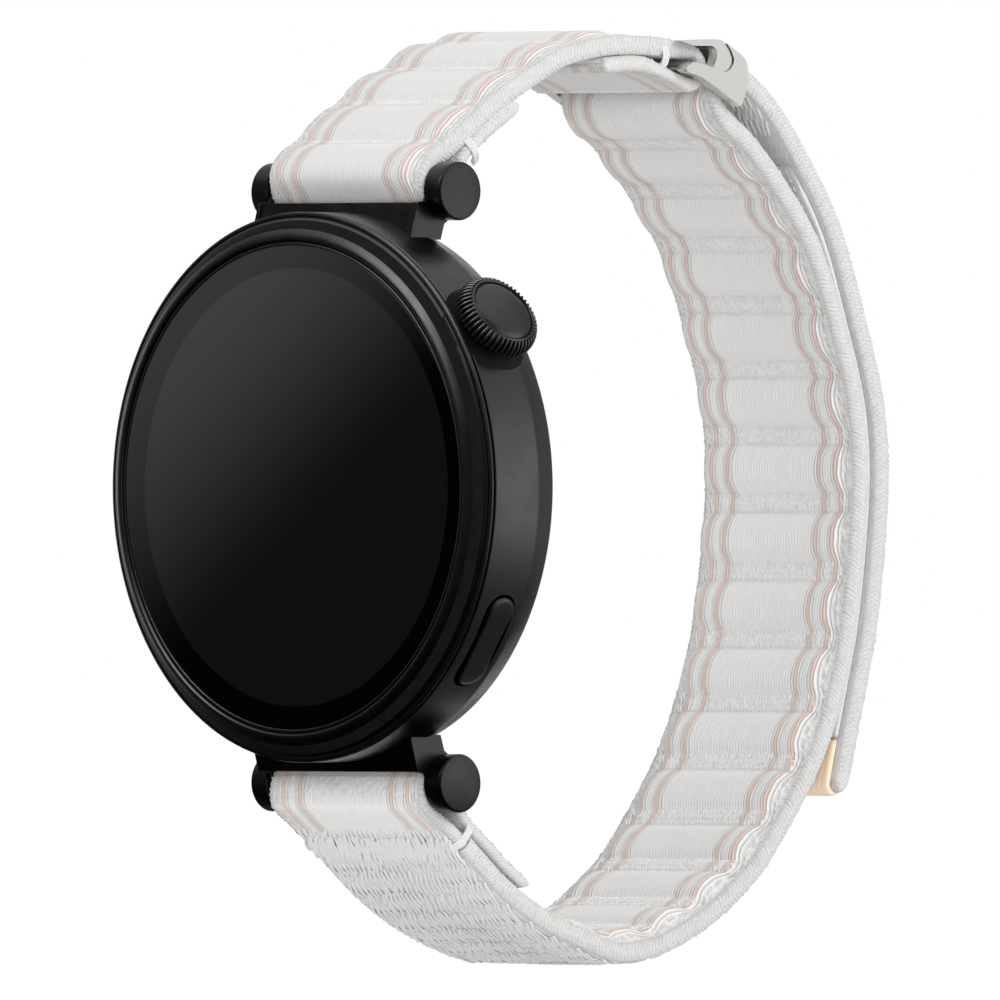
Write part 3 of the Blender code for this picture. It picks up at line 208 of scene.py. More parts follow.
class Nodes:
    """A node tree, with short names for the nodes that it is made of."""

    def __init__(self, tree):
        self.tree = tree

    def plug(self, socket, value):
        if isinstance(value, Signal):
            self.tree.links.new(value.socket, socket)
        else:
            colour = socket.type == "RGBA"
            socket.default_value = (*value, 1.0) if colour else value

    def add(self, kind, inputs=(), **settings):
        """A node; its inputs are a list in order, or a dictionary by name or number."""
        made = self.tree.nodes.new(kind)
        for key, value in settings.items():
            setattr(made, key, value)
        for key, value in inputs.items() if isinstance(inputs, dict) else enumerate(inputs):
            self.plug(made.inputs[key], value)
        return made

    def read(self, kind, inputs=(), out=0, **settings):
        """What a new node puts out."""
        return Signal(self, self.add(kind, inputs, **settings).outputs[out])

    def math(self, operation, *values):
        return self.read("ShaderNodeMath", values, operation=operation)

    def place(self):
        return self.read("ShaderNodeTexCoord", out="Object")

    def split(self, vector):
        return [Signal(self, socket) for socket in
                self.add("ShaderNodeSeparateXYZ", [vector]).outputs]

    def join(self, x, y, z):
        return self.read("ShaderNodeCombineXYZ", (x, y, z))

    def noise(self, vector, scale=1.0, detail=2.0):
        return self.read("ShaderNodeTexNoise", {"Vector": vector, "Scale": scale,
                                                "Detail": detail})

    def grain(self, scale, detail=2.0):
        """Noise in space, at a scale per metre, or at one for each direction."""
        if isinstance(scale, tuple):
            return self.noise(self.read("ShaderNodeMapping", {"Vector": self.place(),
                                                              "Scale": scale}), 1.0, detail)
        return self.noise(self.place(), scale, detail)

    def blend(self, factor, first, second):
        return self.read("ShaderNodeMix", {"Factor": factor, 6: first, 7: second}, 2,
                         data_type="RGBA")

    def mottle(self, first, second, scale, detail=3.0):
        """Colour that drifts between two shades, at a scale per metre."""
        return self.blend(self.grain(scale, detail), first, second)

    def rays(self, *kinds):
        """For each kind of ray, one on such a ray and nought on others."""
        outputs = self.add("ShaderNodeLightPath").outputs
        return [Signal(self, outputs[f"Is {kind} Ray"]) for kind in kinds]


class Finish(Nodes):
    """A procedural material on one shader."""

    def __init__(self, name, colour, roughness, metallic=0.0, specular=0.5, sheen=0.0):
        self.material = bpy.data.materials.new(name)
        self.material.use_nodes = True
        super().__init__(self.material.node_tree)
        self.feed(("Base Color", colour), ("Roughness", roughness), ("Metallic", metallic),
                  ("Specular IOR Level", specular), ("Sheen Weight", sheen))

    def feed(self, *values):
        for socket, value in values:
            self.plug(self.tree.nodes["Principled BSDF"].inputs[socket], value)

    def done(self, colour, roughness=None, height=None, depth=0.0, strength=1.0):
        """The material, with these signals for its colour, roughness and relief."""
        self.feed(("Base Color", colour))
        if roughness:
            self.feed(("Roughness", roughness))
        if height:
            self.feed(("Normal", self.read("ShaderNodeBump", {
                "Distance": depth * MM, "Strength": strength, "Height": height})))
        return self.material


def scaled(shade, factor):
    return tuple(min(1.0, value * factor) for value in shade)


def grained(name, first, second, roughness, drift, grain, depth, strength, metallic=0.0,
            specular=0.5):
    """Two shades that drift into each other, and a fine relief."""
    made = Finish(name, first, roughness, metallic, specular)
    return made.done(made.mottle(first, second, drift), None, made.grain(grain), depth, strength)


def satin_black(name, shade, roughness=0.30):
    """Bead-blasted and coated metal: fine grain, and slightly uneven sheen."""
    made = Finish(name, (shade, shade, shade * 1.03), roughness, 1.0)
    colour = made.mottle((shade * 0.9,) * 3, (shade * 1.1, shade * 1.1, shade * 1.14), 220.0)
    uneven = made.grain(500.0).step(0.3, 0.7, roughness - 0.03, roughness + 0.04)
    return made.done(colour, uneven, made.grain(9000.0), 0.004, 0.35)


def dark_glass():
    """Cover glass over an unlit display: the active area is a shade lighter than its frame, and a
    painted reflection lightens both towards -X and +Z.
    """
    made = Finish("cover_glass", (0.008, 0.008, 0.009), 0.05, specular=0.12)
    made.feed(("IOR", 1.5))
    x, _, z = made.split(made.place())
    lit = (x - 0.45 * MM).away(z).step((ACTIVE_RADIUS - 0.05) * MM,
                                       (ACTIVE_RADIUS + 0.05) * MM, 1.0, 0.0)
    # glow is a painted reflection: lighter towards -X and +Z, over the active area and its frame
    # alike.
    glow = (z * 0.8 - x * 0.6).step(-4.0 * MM, 19.0 * MM)
    lighter = made.blend(glow, (0.0045, 0.0045, 0.0052), (0.048, 0.048, 0.049))
    rim = made.blend(glow, (0.0004, 0.0004, 0.0004), (0.035, 0.035, 0.037))
    return made.done(made.blend(lit, rim, lighter), made.grain(90.0).step(0.3, 0.7, 0.04, 0.07))


def sensor_glass():
    """Dark glass with rings of small windows under it."""
    made = Finish("sensor_glass", (0.01, 0.01, 0.012), 0.08)
    x, _, z = made.split(made.place())
    lens = x.away(z).fold(2.1 * MM).step(0.25 * MM, 0.40 * MM, 1.0, 0.0)
    return made.done(made.blend(lens, (0.008, 0.008, 0.01), (0.03, 0.032, 0.035)),
                     made.grain(200.0).step(0.3, 0.7, 0.06, 0.12))


def brushed_metal(name, shade, roughness, scale=(60.0, 4000.0, 4000.0), depth=0.004, swing=0.05):
    made = Finish(name, shade, roughness, 1.0)
    lines = made.grain(scale, 3.0)
    return made.done(made.blend(lines, scaled(shade, 1.0 - swing), scaled(shade, 1.0 + swing)),
                     lines.step(0.3, 0.7, roughness - 0.8 * swing, roughness + swing),
                     lines, depth, 0.3)


def moulded(name, shade, roughness):
    """Plastic or rubber with a fine moulded grain."""
    return grained(name, scaled(shade, 0.85), scaled(shade, 1.15), roughness, 350.0, 2500.0,
                   0.01, 0.5)


def circuit():
    """Solder mask with pale tracks on a grid."""
    made = Finish("circuit_board", (0.01, 0.09, 0.05), 0.4)
    x, _, z = made.split(made.place())
    track = x.fold(0.45 * MM).least(z.fold(0.6 * MM)).step(0.03 * MM, 0.06 * MM, 1.0, 0.0)
    return made.done(made.blend(track * made.grain(400.0).step(0.45, 0.5),
                                (0.008, 0.075, 0.04), (0.05, 0.22, 0.12)))


CLOTH_LIGHT = (0.84, 0.835, 0.825)
CLOTH_SHADE = (0.72, 0.715, 0.71)
CREAM = (0.80, 0.78, 0.735)
PINK = (0.66, 0.50, 0.48)
PINK_EDGE = (0.50, 0.36, 0.345)
PEACH = (0.71, 0.55, 0.48)
PEACH_EDGE = (0.58, 0.42, 0.34)


def cloth_place(made):
    """Millimetres across and along the cloth, from its own UV map."""
    u, v, _ = made.split(made.read("ShaderNodeUVMap", uv_map="cloth"))
    return (u - 0.5) * SHEET, v * SHEET


def striped_satin(name, share, rim_shadow, level):
    """Long satin floats over padded cells, rougher bands between, and two stripes a side. level
    lightens or darkens all its colours, as painted light or painted shade.
    """
    made = Finish(name, CLOTH_LIGHT, 0.72, specular=0.25, sheen=0.25)
    across, along = cloth_place(made)
    wobble = (made.noise(made.join(across * 2.6, 0.0, along * 0.8), 1.0, 1.0) - 0.5) * 0.30
    phase = ((along + wobble) / PITCH).fract()
    edge = phase.step(share, share + 0.03).least(phase.step(0.97, 1.0, 1.0, 0.0))
    wander = made.noise(made.join(across * 1.3, along, 0.0), 0.9)
    shifted = across + (wander - 0.5) * 0.16
    broken = made.noise(made.join(across * 6.5, along * 0.7, 0.0))
    floats = shifted.fold(0.15) / 0.15 * broken.step(0.25, 0.6, 0.35, 1.0)
    knots = made.noise(made.join(across * 4.2, (along + across * 0.45) * 2.4, 3.7))
    side = abs(shifted)
    near = abs(side - STRIPES[0]).least(abs(side - STRIPES[1]))
    fuzz = (broken - 0.5) * 0.22
    soft_near = near + fuzz
    # groove: painted shade in the grooves beside each stripe.
    groove = abs(near - 0.46).step(0.03, 0.10, 1.0, 0.0)
    inside = (side.step(STRIPES[0] - 0.5, STRIPES[0])
              * side.step(STRIPES[1], STRIPES[1] + 0.4, 1.0, 0.0))
    # outside: the margin beyond the outer stripe, knit-mottled and darkened as painted shade to
    # offset the side lamp.
    outside = (side + fuzz).step(STRIPES[1] + 0.35, STRIPES[1] + 0.75)
    dash = ((along + across * 1.2) / 1.2).fract().step(0.52, 0.62, 1.0, 0.25)
    # seam: painted shade in the gaps of the stitch line.
    seam = abs(side - SEAM_LINE).step(0.05, 0.16, 1.0, 0.0) * dash
    # rim: a thin painted shadow under the edge of each padded cell.
    rim = (abs(phase - share).least(1.0 - phase) + fuzz * 0.12).step(0.004, 0.034, rim_shadow, 0.0)
    warm = made.split(made.place())[2].step(6.0 * MM, -20.0 * MM)
    # level scales every colour of the cloth: painted light above one, painted shade below it.
    pale, dull, cream = (scaled(shade, level) for shade in (CLOTH_LIGHT, CLOTH_SHADE, CREAM))
    mixed = knots.step(0.34, 0.60)
    strands = made.blend(broken.step(0.4, 0.7), made.blend(warm, PINK, PEACH),
                         (0.78, 0.67, 0.64))
    colour = made.blend(floats, dull, made.blend(inside, pale, cream))
    for cover, shade in (
            (edge, made.blend(mixed, (0.69, 0.685, 0.675), (0.82, 0.815, 0.805))),
            # Margin beyond the outer stripe: painted shade.
            (outside * 0.85, made.blend(mixed, (0.54, 0.535, 0.525), (0.70, 0.695, 0.685))),
            (soft_near.step(0.08, 0.24, 0.90, 0.0), strands),
            (abs(soft_near - 0.18).step(0.02, 0.11, 0.8, 0.0),
             made.blend(warm, PINK_EDGE, PEACH_EDGE)),
            # Painted shade follows: grooves, stitch-line gaps and the shadow under each cell's
            # rim.
            (groove * 0.35, (0.42, 0.415, 0.40)), (seam * 0.4, (0.44, 0.435, 0.43)),
            (rim, (0.46, 0.455, 0.45))):
        colour = made.blend(cover, colour, shade)
    knotted = edge.most(outside)
    relief = floats * (1.0 - knotted) + knots * knotted * 2.2 - (groove + seam)
    return made.done(colour, floats.step(0.3, 0.7, 0.62, 0.8), relief, 0.06, 0.8)


def plain_cloth(name, light, shade, pull=(3.4, 1.5), slope=0.6, depth=0.12):
    """Cloth with short slanted floats, for the loop side and the flaps."""
    made = Finish(name, light, 0.85, specular=0.2, sheen=0.3)
    across, along = cloth_place(made)
    floats = made.noise(made.join(across * pull[0], (along + across * slope) * pull[1], 0.0),
                        1.0, 3.0)
    return made.done(made.blend(floats.step(0.35, 0.65), shade, light),
                     floats.step(0.3, 0.7, 0.8, 0.9), floats, depth, 0.7)


def ribbed_edge():
    """Selvedge: short cross ribs, with lengthwise plies; its colour is darker than the cloth's,
    painted shade to offset the side lamp.
    """
    made = Finish("ribbed_selvedge", CLOTH_LIGHT, 0.8, specular=0.25, sheen=0.25)
    across, along = cloth_place(made)
    rib = (along + across * 0.6).fold(0.16) / 0.16
    fuzz = made.noise(made.join(across * 5.0, along * 2.0, 1.0), 1.0, 3.0)
    colour = made.blend((rib * fuzz).step(0.0, 0.5), (0.50, 0.495, 0.49), (0.60, 0.595, 0.585))
    tufts = made.grain((2600.0, 1500.0, 1500.0), 3.0)
    return made.done(colour, fuzz.step(0.3, 0.7, 0.74, 0.86), rib * 0.5 + tufts * 2.4 + fuzz,
                     0.05, 0.8)


def yarn(name, light, shade, roughness=0.8):
    """Single yarns and threads, with their own fine twist."""
    made = Finish(name, light, roughness, specular=0.25, sheen=0.3)
    return made.done(made.mottle(shade, light, 2200.0, 2.0), None,
                     made.grain((9000.0, 4000.0, 4000.0)), 0.01, 0.4)


def ringed_tape():
    """The peach finger tab, with moulded lines round its edge."""
    made = Finish("peach_end_tape", (0.86, 0.64, 0.48), 0.55, sheen=0.2)
    across, along = cloth_place(made)
    lines = (TAPE_HALF - abs(across)).least(abs(along)).fold(0.3).step(0.05, 0.2)
    worn = made.grain(500.0).step(0.35, 0.65)
    colour = made.blend(worn, (0.90, 0.68, 0.50), (0.87, 0.65, 0.47))
    return made.done(made.blend(lines, colour, (0.93, 0.74, 0.57)),
                     worn.step(0.0, 1.0, 0.5, 0.62), lines, 0.02, 0.6)


BLACK = satin_black("satin_black_metal", 0.115)
LUG = satin_black("lug_black_metal", 0.076)
GLOSS = grained("gloss_black_metal", (0.22, 0.22, 0.225), (0.27, 0.27, 0.275), 0.28, 160.0,
                3000.0, 0.002, 0.3, metallic=1.0)
# A near-black matte finish for the bezel's channel: painted shade.
SHADE_BLACK = grained("black_lacquer", (0.004,) * 3, (0.009,) * 3, 0.45, 900.0, 4000.0, 0.004, 0.3,
                  specular=0.08)
GLASS = dark_glass()
SENSOR = sensor_glass()
WARM = brushed_metal("satin_warm_metal", (0.70, 0.69, 0.665), 0.22, (300.0, 700.0, 700.0), 0.0,
                     0.012)
STEEL = brushed_metal("spring_bar_steel", (0.62, 0.62, 0.61), 0.28)
RUBBER = moulded("seal_rubber", (0.008, 0.008, 0.008), 0.85)
PLASTIC = moulded("inner_plastic", (0.05, 0.05, 0.055), 0.5)
CELL = brushed_metal("battery_wrap", (0.55, 0.56, 0.58), 0.4, (900.0, 900.0, 900.0))
BOARD = circuit()
# One cloth twice: 6% lighter, painted light for the shaded inside of the loop (also on the sleeve
# and tail); 5% darker, painted shade on the upper strap under the key lamp.
SATIN = striped_satin("striped_satin_weave", CELL_SHARE, 0.17, 1.06)
UPPER_SATIN = striped_satin("upper_satin_weave", UPPER_SHARE, 0.12, 0.95)
PILE = plain_cloth("loop_pile_ground", (0.70, 0.695, 0.69), (0.60, 0.595, 0.59))
PLAIN = plain_cloth("plain_flap_weave", (0.78, 0.775, 0.765), CLOTH_SHADE, (4.0, 4.0), 0.0, 0.06)
EDGE = ribbed_edge()
LOOP_YARN = yarn("loop_yarn", (0.76, 0.755, 0.745), (0.66, 0.655, 0.65))
KNOT_YARN = yarn("knot_yarn", (0.81, 0.805, 0.795), (0.72, 0.715, 0.71))
# Selvedge yarn is darker than the other yarns: painted shade, to offset the side lamp.
EDGE_YARN = yarn("selvedge_yarn", (0.58, 0.575, 0.565), (0.48, 0.475, 0.47))
STITCH = yarn("seam_thread", (0.74, 0.73, 0.72), (0.60, 0.59, 0.58), 0.6)
HOOK_GROUND = plain_cloth("hook_tape_ground", (0.74, 0.735, 0.73), (0.60, 0.595, 0.59),
                          (5.0, 5.0))
HOOK_YARN = yarn("hook_bristle", (0.80, 0.795, 0.79), (0.66, 0.655, 0.65), 0.5)
TAB = ringed_tape()

SLOTS = {material.name: slot for slot, materials in {
    "case_black": (BLACK, LUG, GLOSS, SHADE_BLACK), "cover_glass": (GLASS, SENSOR),
    "seal_rubber": (RUBBER,), "buckle_metal": (WARM,), "hook_tape": (HOOK_GROUND, HOOK_YARN),
    "weave": (SATIN, UPPER_SATIN, PLAIN, LOOP_YARN, KNOT_YARN, EDGE_YARN, STITCH),
    "peach_tape": (TAB,)}.items() for material in materials}


# Mesh helpers

def link(name, data):
    made = bpy.data.objects.new(name, data)
    bpy.context.scene.collection.objects.link(made)
    return made


def settled(made, name):
    """The object with its modifiers applied, as a plain mesh at the origin."""
    bpy.context.view_layer.update()
    seen = made.evaluated_get(bpy.context.evaluated_depsgraph_get())
    mesh = bpy.data.meshes.new_from_object(seen)
    mesh.transform(made.matrix_world)
    old = made.data
    bpy.data.objects.remove(made)
    if old.users == 0:
        bpy.data.meshes.remove(old)
    mesh.name = name
    return link(name, mesh)


def rounded_shading(made, angle):
    made.data.shade_smooth()
    made.data.set_sharp_from_angle(angle=math.radians(angle))


def tidy(made, angle=32.0):
    """Merge doubles, point faces outwards, and round the shading up to an angle."""
    shape = bmesh.new()
    shape.from_mesh(made.data)
    bmesh.ops.remove_doubles(shape, verts=shape.verts, dist=CLOSE)
    bmesh.ops.recalc_face_normals(shape, faces=shape.faces)
    shape.to_mesh(made.data)
    shape.free()
    rounded_shading(made, angle)
    return made


def mounted(made, body, *nodes):
    """Let a piece ride on its body, in place of these CAD nodes. Its material is looked up in
    SLOTS.
    """
    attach(made, body)
    SLOTS[next(filter(None, made.data.materials)).name]
    if nodes:
        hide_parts(*nodes)


def solid(name, shape, *materials):
    mesh = bpy.data.meshes.new(name)
    bmesh.ops.recalc_face_normals(shape, faces=shape.faces)
    shape.to_mesh(mesh)
    shape.free()
    for material in materials:
        mesh.materials.append(material)
    return link(name, mesh)


def radial_frame(angle, height):
    """Local +Z points out of the case side at this angle from +X towards +Z."""
    out = Vector((math.cos(angle), 0.0, math.sin(angle)))
    front = Vector((0.0, -1.0, 0.0))
    turn = Matrix((front.cross(out), front, out)).transposed().to_4x4()
    return Matrix.Translation(Vector((0.0, -height * MM, 0.0))) @ turn


def cross_frame(depth, rise, flip=False):
    """Local +Z points along +X (or -X), on a line across the strap."""
    turn = Matrix(((0.0, 0.0, 1.0), (1.0, 0.0, 0.0), (0.0, 1.0, 0.0))).to_4x4()
    if flip:
        turn = turn @ Matrix.Rotation(math.pi, 4, "X")
    return Matrix.Translation(Vector((0.0, depth * MM, rise * MM))) @ turn


WATCH_AXIS = Matrix.Rotation(math.radians(90.0), 4, "X")


class Growth(Nodes):
    """A geometry tree with named inputs, the first of them the mesh that it starts from."""

    def __init__(self, name, **inputs):
        super().__init__(bpy.data.node_groups.new(name, "GeometryNodeTree"))
        sockets = self.tree.interface.new_socket
        self.marks = {label: sockets(label, in_out="INPUT", socket_type="NodeSocket" + kind
                                     ).identifier for label, kind in inputs.items()}
        sockets("result", in_out="OUTPUT", socket_type="NodeSocketGeometry")
        given = self.add("NodeGroupInput").outputs
        self.given = {label: Signal(self, given[label]) for label in inputs}

    def swept(self, line, sides, radius, around=False):
        """A ring swept along a line, or the line swept around the ring."""
        ring = self.read("GeometryNodeCurvePrimitiveCircle",
                         {"Resolution": self.given[sides], "Radius": self.given[radius]})
        path, profile = (ring, line) if around else (line, ring)
        return self.read("GeometryNodeCurveToMesh", {
            "Curve": path, "Profile Curve": profile, "Fill Caps": not around})

    def finished(self, geometry):
        real = self.read("GeometryNodeRealizeInstances", [geometry])
        self.add("NodeGroupOutput", [self.read("GeometryNodeSetMaterial", {
            "Geometry": real, "Material": self.given["finish"]})])
        return self

    def grown(self, name, mesh, **values):
        """Run the tree on a mesh and keep what it makes as a plain mesh."""
        made = link(name + "_source", mesh)
        change = made.modifiers.new("grow", "NODES")
        change.node_group = self.tree
        for label, value in values.items():
            change[self.marks[label]] = value
        return settled(made, name)


def turned_tree():
    """Sweeps a profile of radius and height round an axis."""
    made = Growth("turned_shape", profile="Geometry", steps="Int", sweep_radius="Float",
                  finish="Material")
    line = made.read("GeometryNodeMeshToCurve", {"Mesh": made.given["profile"]})
    return made.finished(made.read("GeometryNodeMergeByDistance", {
        "Geometry": made.swept(line, "steps", "sweep_radius", True), "Distance": CLOSE}))


def thread_tree():
    """Puts an arched thread on every point, turned and sized by the point's attributes."""
    made = Growth("threads_on_points", places="Geometry", length="Float", arch="Float",
                  radius="Float", sides="Int", steps="Int", finish="Material")
    given = made.given
    half = given["length"] * 0.5
    bow = made.read("GeometryNodeCurveQuadraticBezier", {
        "Resolution": given["steps"], "Start": made.join(half * -1.0, 0.0, 0.0),
        "Middle": made.join(0.0, 0.0, given["arch"] * 2.0), "End": made.join(half, 0.0, 0.0)})
    thread = made.read("GeometryNodeSetShadeSmooth",
                       {"Geometry": made.swept(bow, "sides", "radius")})
    turn, size = (made.read("GeometryNodeInputNamedAttribute", {"Name": name}, "Attribute",
                            data_type="FLOAT_VECTOR") for name in ("turn", "size"))
    return made.finished(made.read("GeometryNodeInstanceOnPoints", {
        "Points": given["places"], "Instance": thread, "Scale": size,
        "Rotation": made.read("FunctionNodeEulerToRotation", [turn])}))


TURNED = turned_tree()
THREADS = thread_tree()
SWEEP_RADIUS = 10.0


def turned(name, profile, material, place=WATCH_AXIS, steps=256, angle=32.0):
    """Turn a profile of (radius, height) in millimetres about local Z of a frame."""
    mesh = bpy.data.meshes.new(name)
    spots = [((radius - SWEEP_RADIUS) * MM, -height * MM, 0.0) for radius, height in profile]
    edges = [(i, i + 1) for i in range(len(spots) - 1)]
    if profile[0][0] > 0.0:
        edges.append((len(spots) - 1, 0))
    mesh.from_pydata(spots, edges, [])
    made = TURNED.grown(name, mesh, steps=steps, sweep_radius=SWEEP_RADIUS * MM,
                        finish=material)
    made.data.transform(place)
    return tidy(made, angle)


def at_height(base, profile):
    """A profile whose heights are given from a base."""
    return [(radius, base + height) for radius, height in profile]


def rounded(profile, corners, parts=4):
    """Round the listed corners of a profile: {index: radius}."""
    made = []
    for index, spot in enumerate(profile):
        radius = corners.get(index)
        if not radius:
            made.append(spot)
            continue
        here = Vector(spot)
        before, after = Vector(profile[index - 1]), Vector(profile[(index + 1) % len(profile)])
        a = here + (before - here).normalized() * radius
        b = here + (after - here).normalized() * radius
        for part in range(parts + 1):
            t = part / parts
            made.append(tuple(a * (1 - t) ** 2 + here * 2 * t * (1 - t) + b * t ** 2))
    return made


def threads(name, places, material, length, arch, radius, sides, steps):
    """Threads at places: (position, direction, upwards, size), all in metres."""
    mesh = bpy.data.meshes.new(name)
    mesh.from_pydata([tuple(item[0]) for item in places], [], [])
    turns, sizes = [], []
    for _, ahead, up, size in places:
        ahead = ahead.normalized()
        aside = up.cross(ahead).normalized()
        facing = Matrix((ahead, aside, ahead.cross(aside))).transposed()
        turns += facing.to_euler()[:]
        sizes += [size] * 3 if isinstance(size, float) else list(size)
    labels = (("turn", turns), ("size", sizes))
    for label, values in labels:
        mesh.attributes.new(label, "FLOAT_VECTOR", "POINT").data.foreach_set("vector", values)
    made = THREADS.grown(name, mesh, length=length * MM, arch=arch * MM, radius=radius * MM,
                         sides=sides, steps=steps, finish=material)
    for label, values in labels:
        if label in made.data.attributes:
            made.data.attributes.remove(made.data.attributes[label])
    return made


def softened(made, edge, segments=3):
    """Rounded edges, where there is a width for them."""
    if edge > 0.0:
        change = made.modifiers.new("rounded_edges", "BEVEL")
        change.width = edge * MM
        change.segments = segments
        change.limit_method = "ANGLE"
        change.angle_limit = math.radians(30.0)
        change.harden_normals = True
    return made


def extruded(name, outline, low, high, material, place, edge=0.0, segments=3):
    """A flat outline in local X and Y, thickened along local Z."""
    shape = bmesh.new()
    face = shape.faces.new([shape.verts.new((x * MM, y * MM, low * MM)) for x, y in outline])
    top = bmesh.ops.extrude_face_region(shape, geom=[face])["geom"]
    lift = [item for item in top if isinstance(item, bmesh.types.BMVert)]
    bmesh.ops.translate(shape, verts=lift, vec=Vector((0.0, 0.0, (high - low) * MM)))
    made = solid(name, shape, material)
    made.data.transform(place)
    return softened(made, edge, segments)


def between(a, b, c, d, parts):
    """Points of a Catmull-Rom curve from b up to c."""
    return [0.5 * (2 * b + (c - a) * t + (2 * a - 5 * b + 4 * c - d) * t ** 2
                   + (3 * b - a - 3 * c + d) * t ** 3) for t in (i / parts for i in range(parts))]


def curved(outline, parts):
    """A closed curve through an outline's points."""
    count = len(outline)
    return [tuple(spot) for index in range(count) for spot in between(
        *(Vector(outline[(index + step) % count]) for step in (-1, 0, 1, 2)), parts)]


def cut(made, tool):
    """Cut a tool out of a piece. The tool is used up."""
    change = made.modifiers.new("cut", "BOOLEAN")
    change.operation = "DIFFERENCE"
    change.solver = "EXACT"
    change.object = tool
    name = made.name
    made = settled(made, name + "_cut")
    bpy.data.objects.remove(tool)
    made.name = name
    return made


def pill(length, width, parts=24):
    """A long hole's outline with its length along local X."""
    reach = (length - width) / 2.0
    made = []
    for side in (1.0, -1.0):
        for step in range(parts + 1):
            turn = math.pi * (step / parts - 0.5)
            made.append((side * (reach + width / 2.0 * math.cos(turn)),
                         side * width / 2.0 * math.sin(turn)))
    return made


# Case, bezel, glass and back

def make_head():
    top = SEAM_HEIGHT - 0.15
    seat = CASE_FOOT + 1.4
    case = turned("case_shell", rounded([
        (18.6, top), (CASE_RADIUS, top), (CASE_RADIUS, SEAM_HEIGHT - SIDE_BAND),
        (20.18, CASE_FOOT), (BACK_SEAT_RADIUS, CASE_FOOT), (BACK_SEAT_RADIUS, seat),
        (BORE_RADIUS, seat), (BORE_RADIUS, top - 0.5), (18.6, top - 0.5)],
        {1: 0.14, 2: 0.16, 3: 0.30, 4: 0.12}), BLACK)
    case = cut(case, turned("cut_pocket", [(0.0, 24.0), (3.78, 24.0), (3.78, 20.55), (3.5, 20.2),
                                           (0.0, 20.2)],
                            BLACK, radial_frame(CROWN_ANGLE, CROWN_HEIGHT), 96))
    well = [(x + 0.05, y + 0.17) for x, y in pill(BUTTON_LENGTH + 0.44, BUTTON_WIDTH + 0.40)]
    case = cut(case, extruded("cut_well", well, 18.4, 24.0, BLACK,
                              radial_frame(BUTTON_ANGLE, BUTTON_HEIGHT)))
    mounted(tidy(case, 28.0), "head", "mid_case")

    bezel = at_height(SEAM_HEIGHT, [
        (20.70, 0.02), (20.86, 0.06), (20.89, 0.14), (20.86, 0.23), (20.76, 0.29), (20.64, 0.31),
        (20.59, 0.22), (20.47, 0.22), (20.43, 0.36), (20.34, 0.44), (20.16, 0.62), (19.96, 0.80),
        (19.74, 0.98), (19.52, 1.13), (19.30, 1.26), (19.12, 1.34), (18.96, 1.38), (18.86, 1.38),
        (18.76, 1.33), (18.71, 1.24), (18.70, 0.90), (18.70, 0.32), (17.0, 0.32), (17.0, -1.1),
        (17.3, -1.1), (17.3, 0.02)])
    mounted(turned("bezel", bezel, BLACK, angle=24.0), "head", "bezel_ring")
    # A near-black ring laid over the bezel's outer slope: painted shade where the channel falls
    # into shadow.
    channel = at_height(SEAM_HEIGHT, [
        (20.26, 0.53), (20.16, 0.64), (19.96, 0.82), (19.74, 1.00), (19.63, 1.075), (19.60, 0.95),
        (19.90, 0.60), (20.22, 0.35)])
    mounted(turned("bezel_channel", channel, SHADE_BLACK, angle=24.0), "head")
    groove = at_height(SEAM_HEIGHT, [(18.72, 0.98), (18.40, 0.98), (18.40, 0.6), (18.72, 0.6)])
    mounted(turned("bezel_groove", groove, RUBBER), "head")
    rim = rounded(at_height(SEAM_HEIGHT, [(18.40, 1.28), (18.56, 1.28), (18.56, 0.9),
                                          (18.40, 0.9)]), {0: 0.05, 1: 0.07}, 5)
    mounted(turned("glass_rim", rim, GLOSS, angle=50.0), "head")
    glass = rounded(at_height(SEAM_HEIGHT + 1.27, [(0.0, 0.0), (GLASS_RADIUS, 0.0),
                                                   (GLASS_RADIUS, -0.8), (0.0, -0.8)]),
                    {1: 0.28}, 6)
    mounted(turned("cover_lens", glass, GLASS, angle=50.0), "head", "cover_glass")

    cover = rounded([(16.3, 3.7), (17.3, 3.7), (17.3, 2.9), (18.72, 2.9), (18.72, 2.3),
                     (17.72, 2.0), (15.04, 0.6), (12.71, 0.15), (12.71, 1.3), (7.3, 1.3),
                     (7.3, 2.3), (15.04, 2.3)], {4: 0.15, 5: 0.5, 6: 1.2, 7: 0.1})
    mounted(turned("back_shell", cover, BLACK), "head", "back_cover")
    window = rounded([(0.0, 1.0), (WINDOW_RADIUS, 1.0), (WINDOW_RADIUS, 0.0), (0.0, 0.0)],
                     {2: 0.15})
    mounted(turned("sensor_lens", window, SENSOR, angle=50.0), "head", "sensor_window")


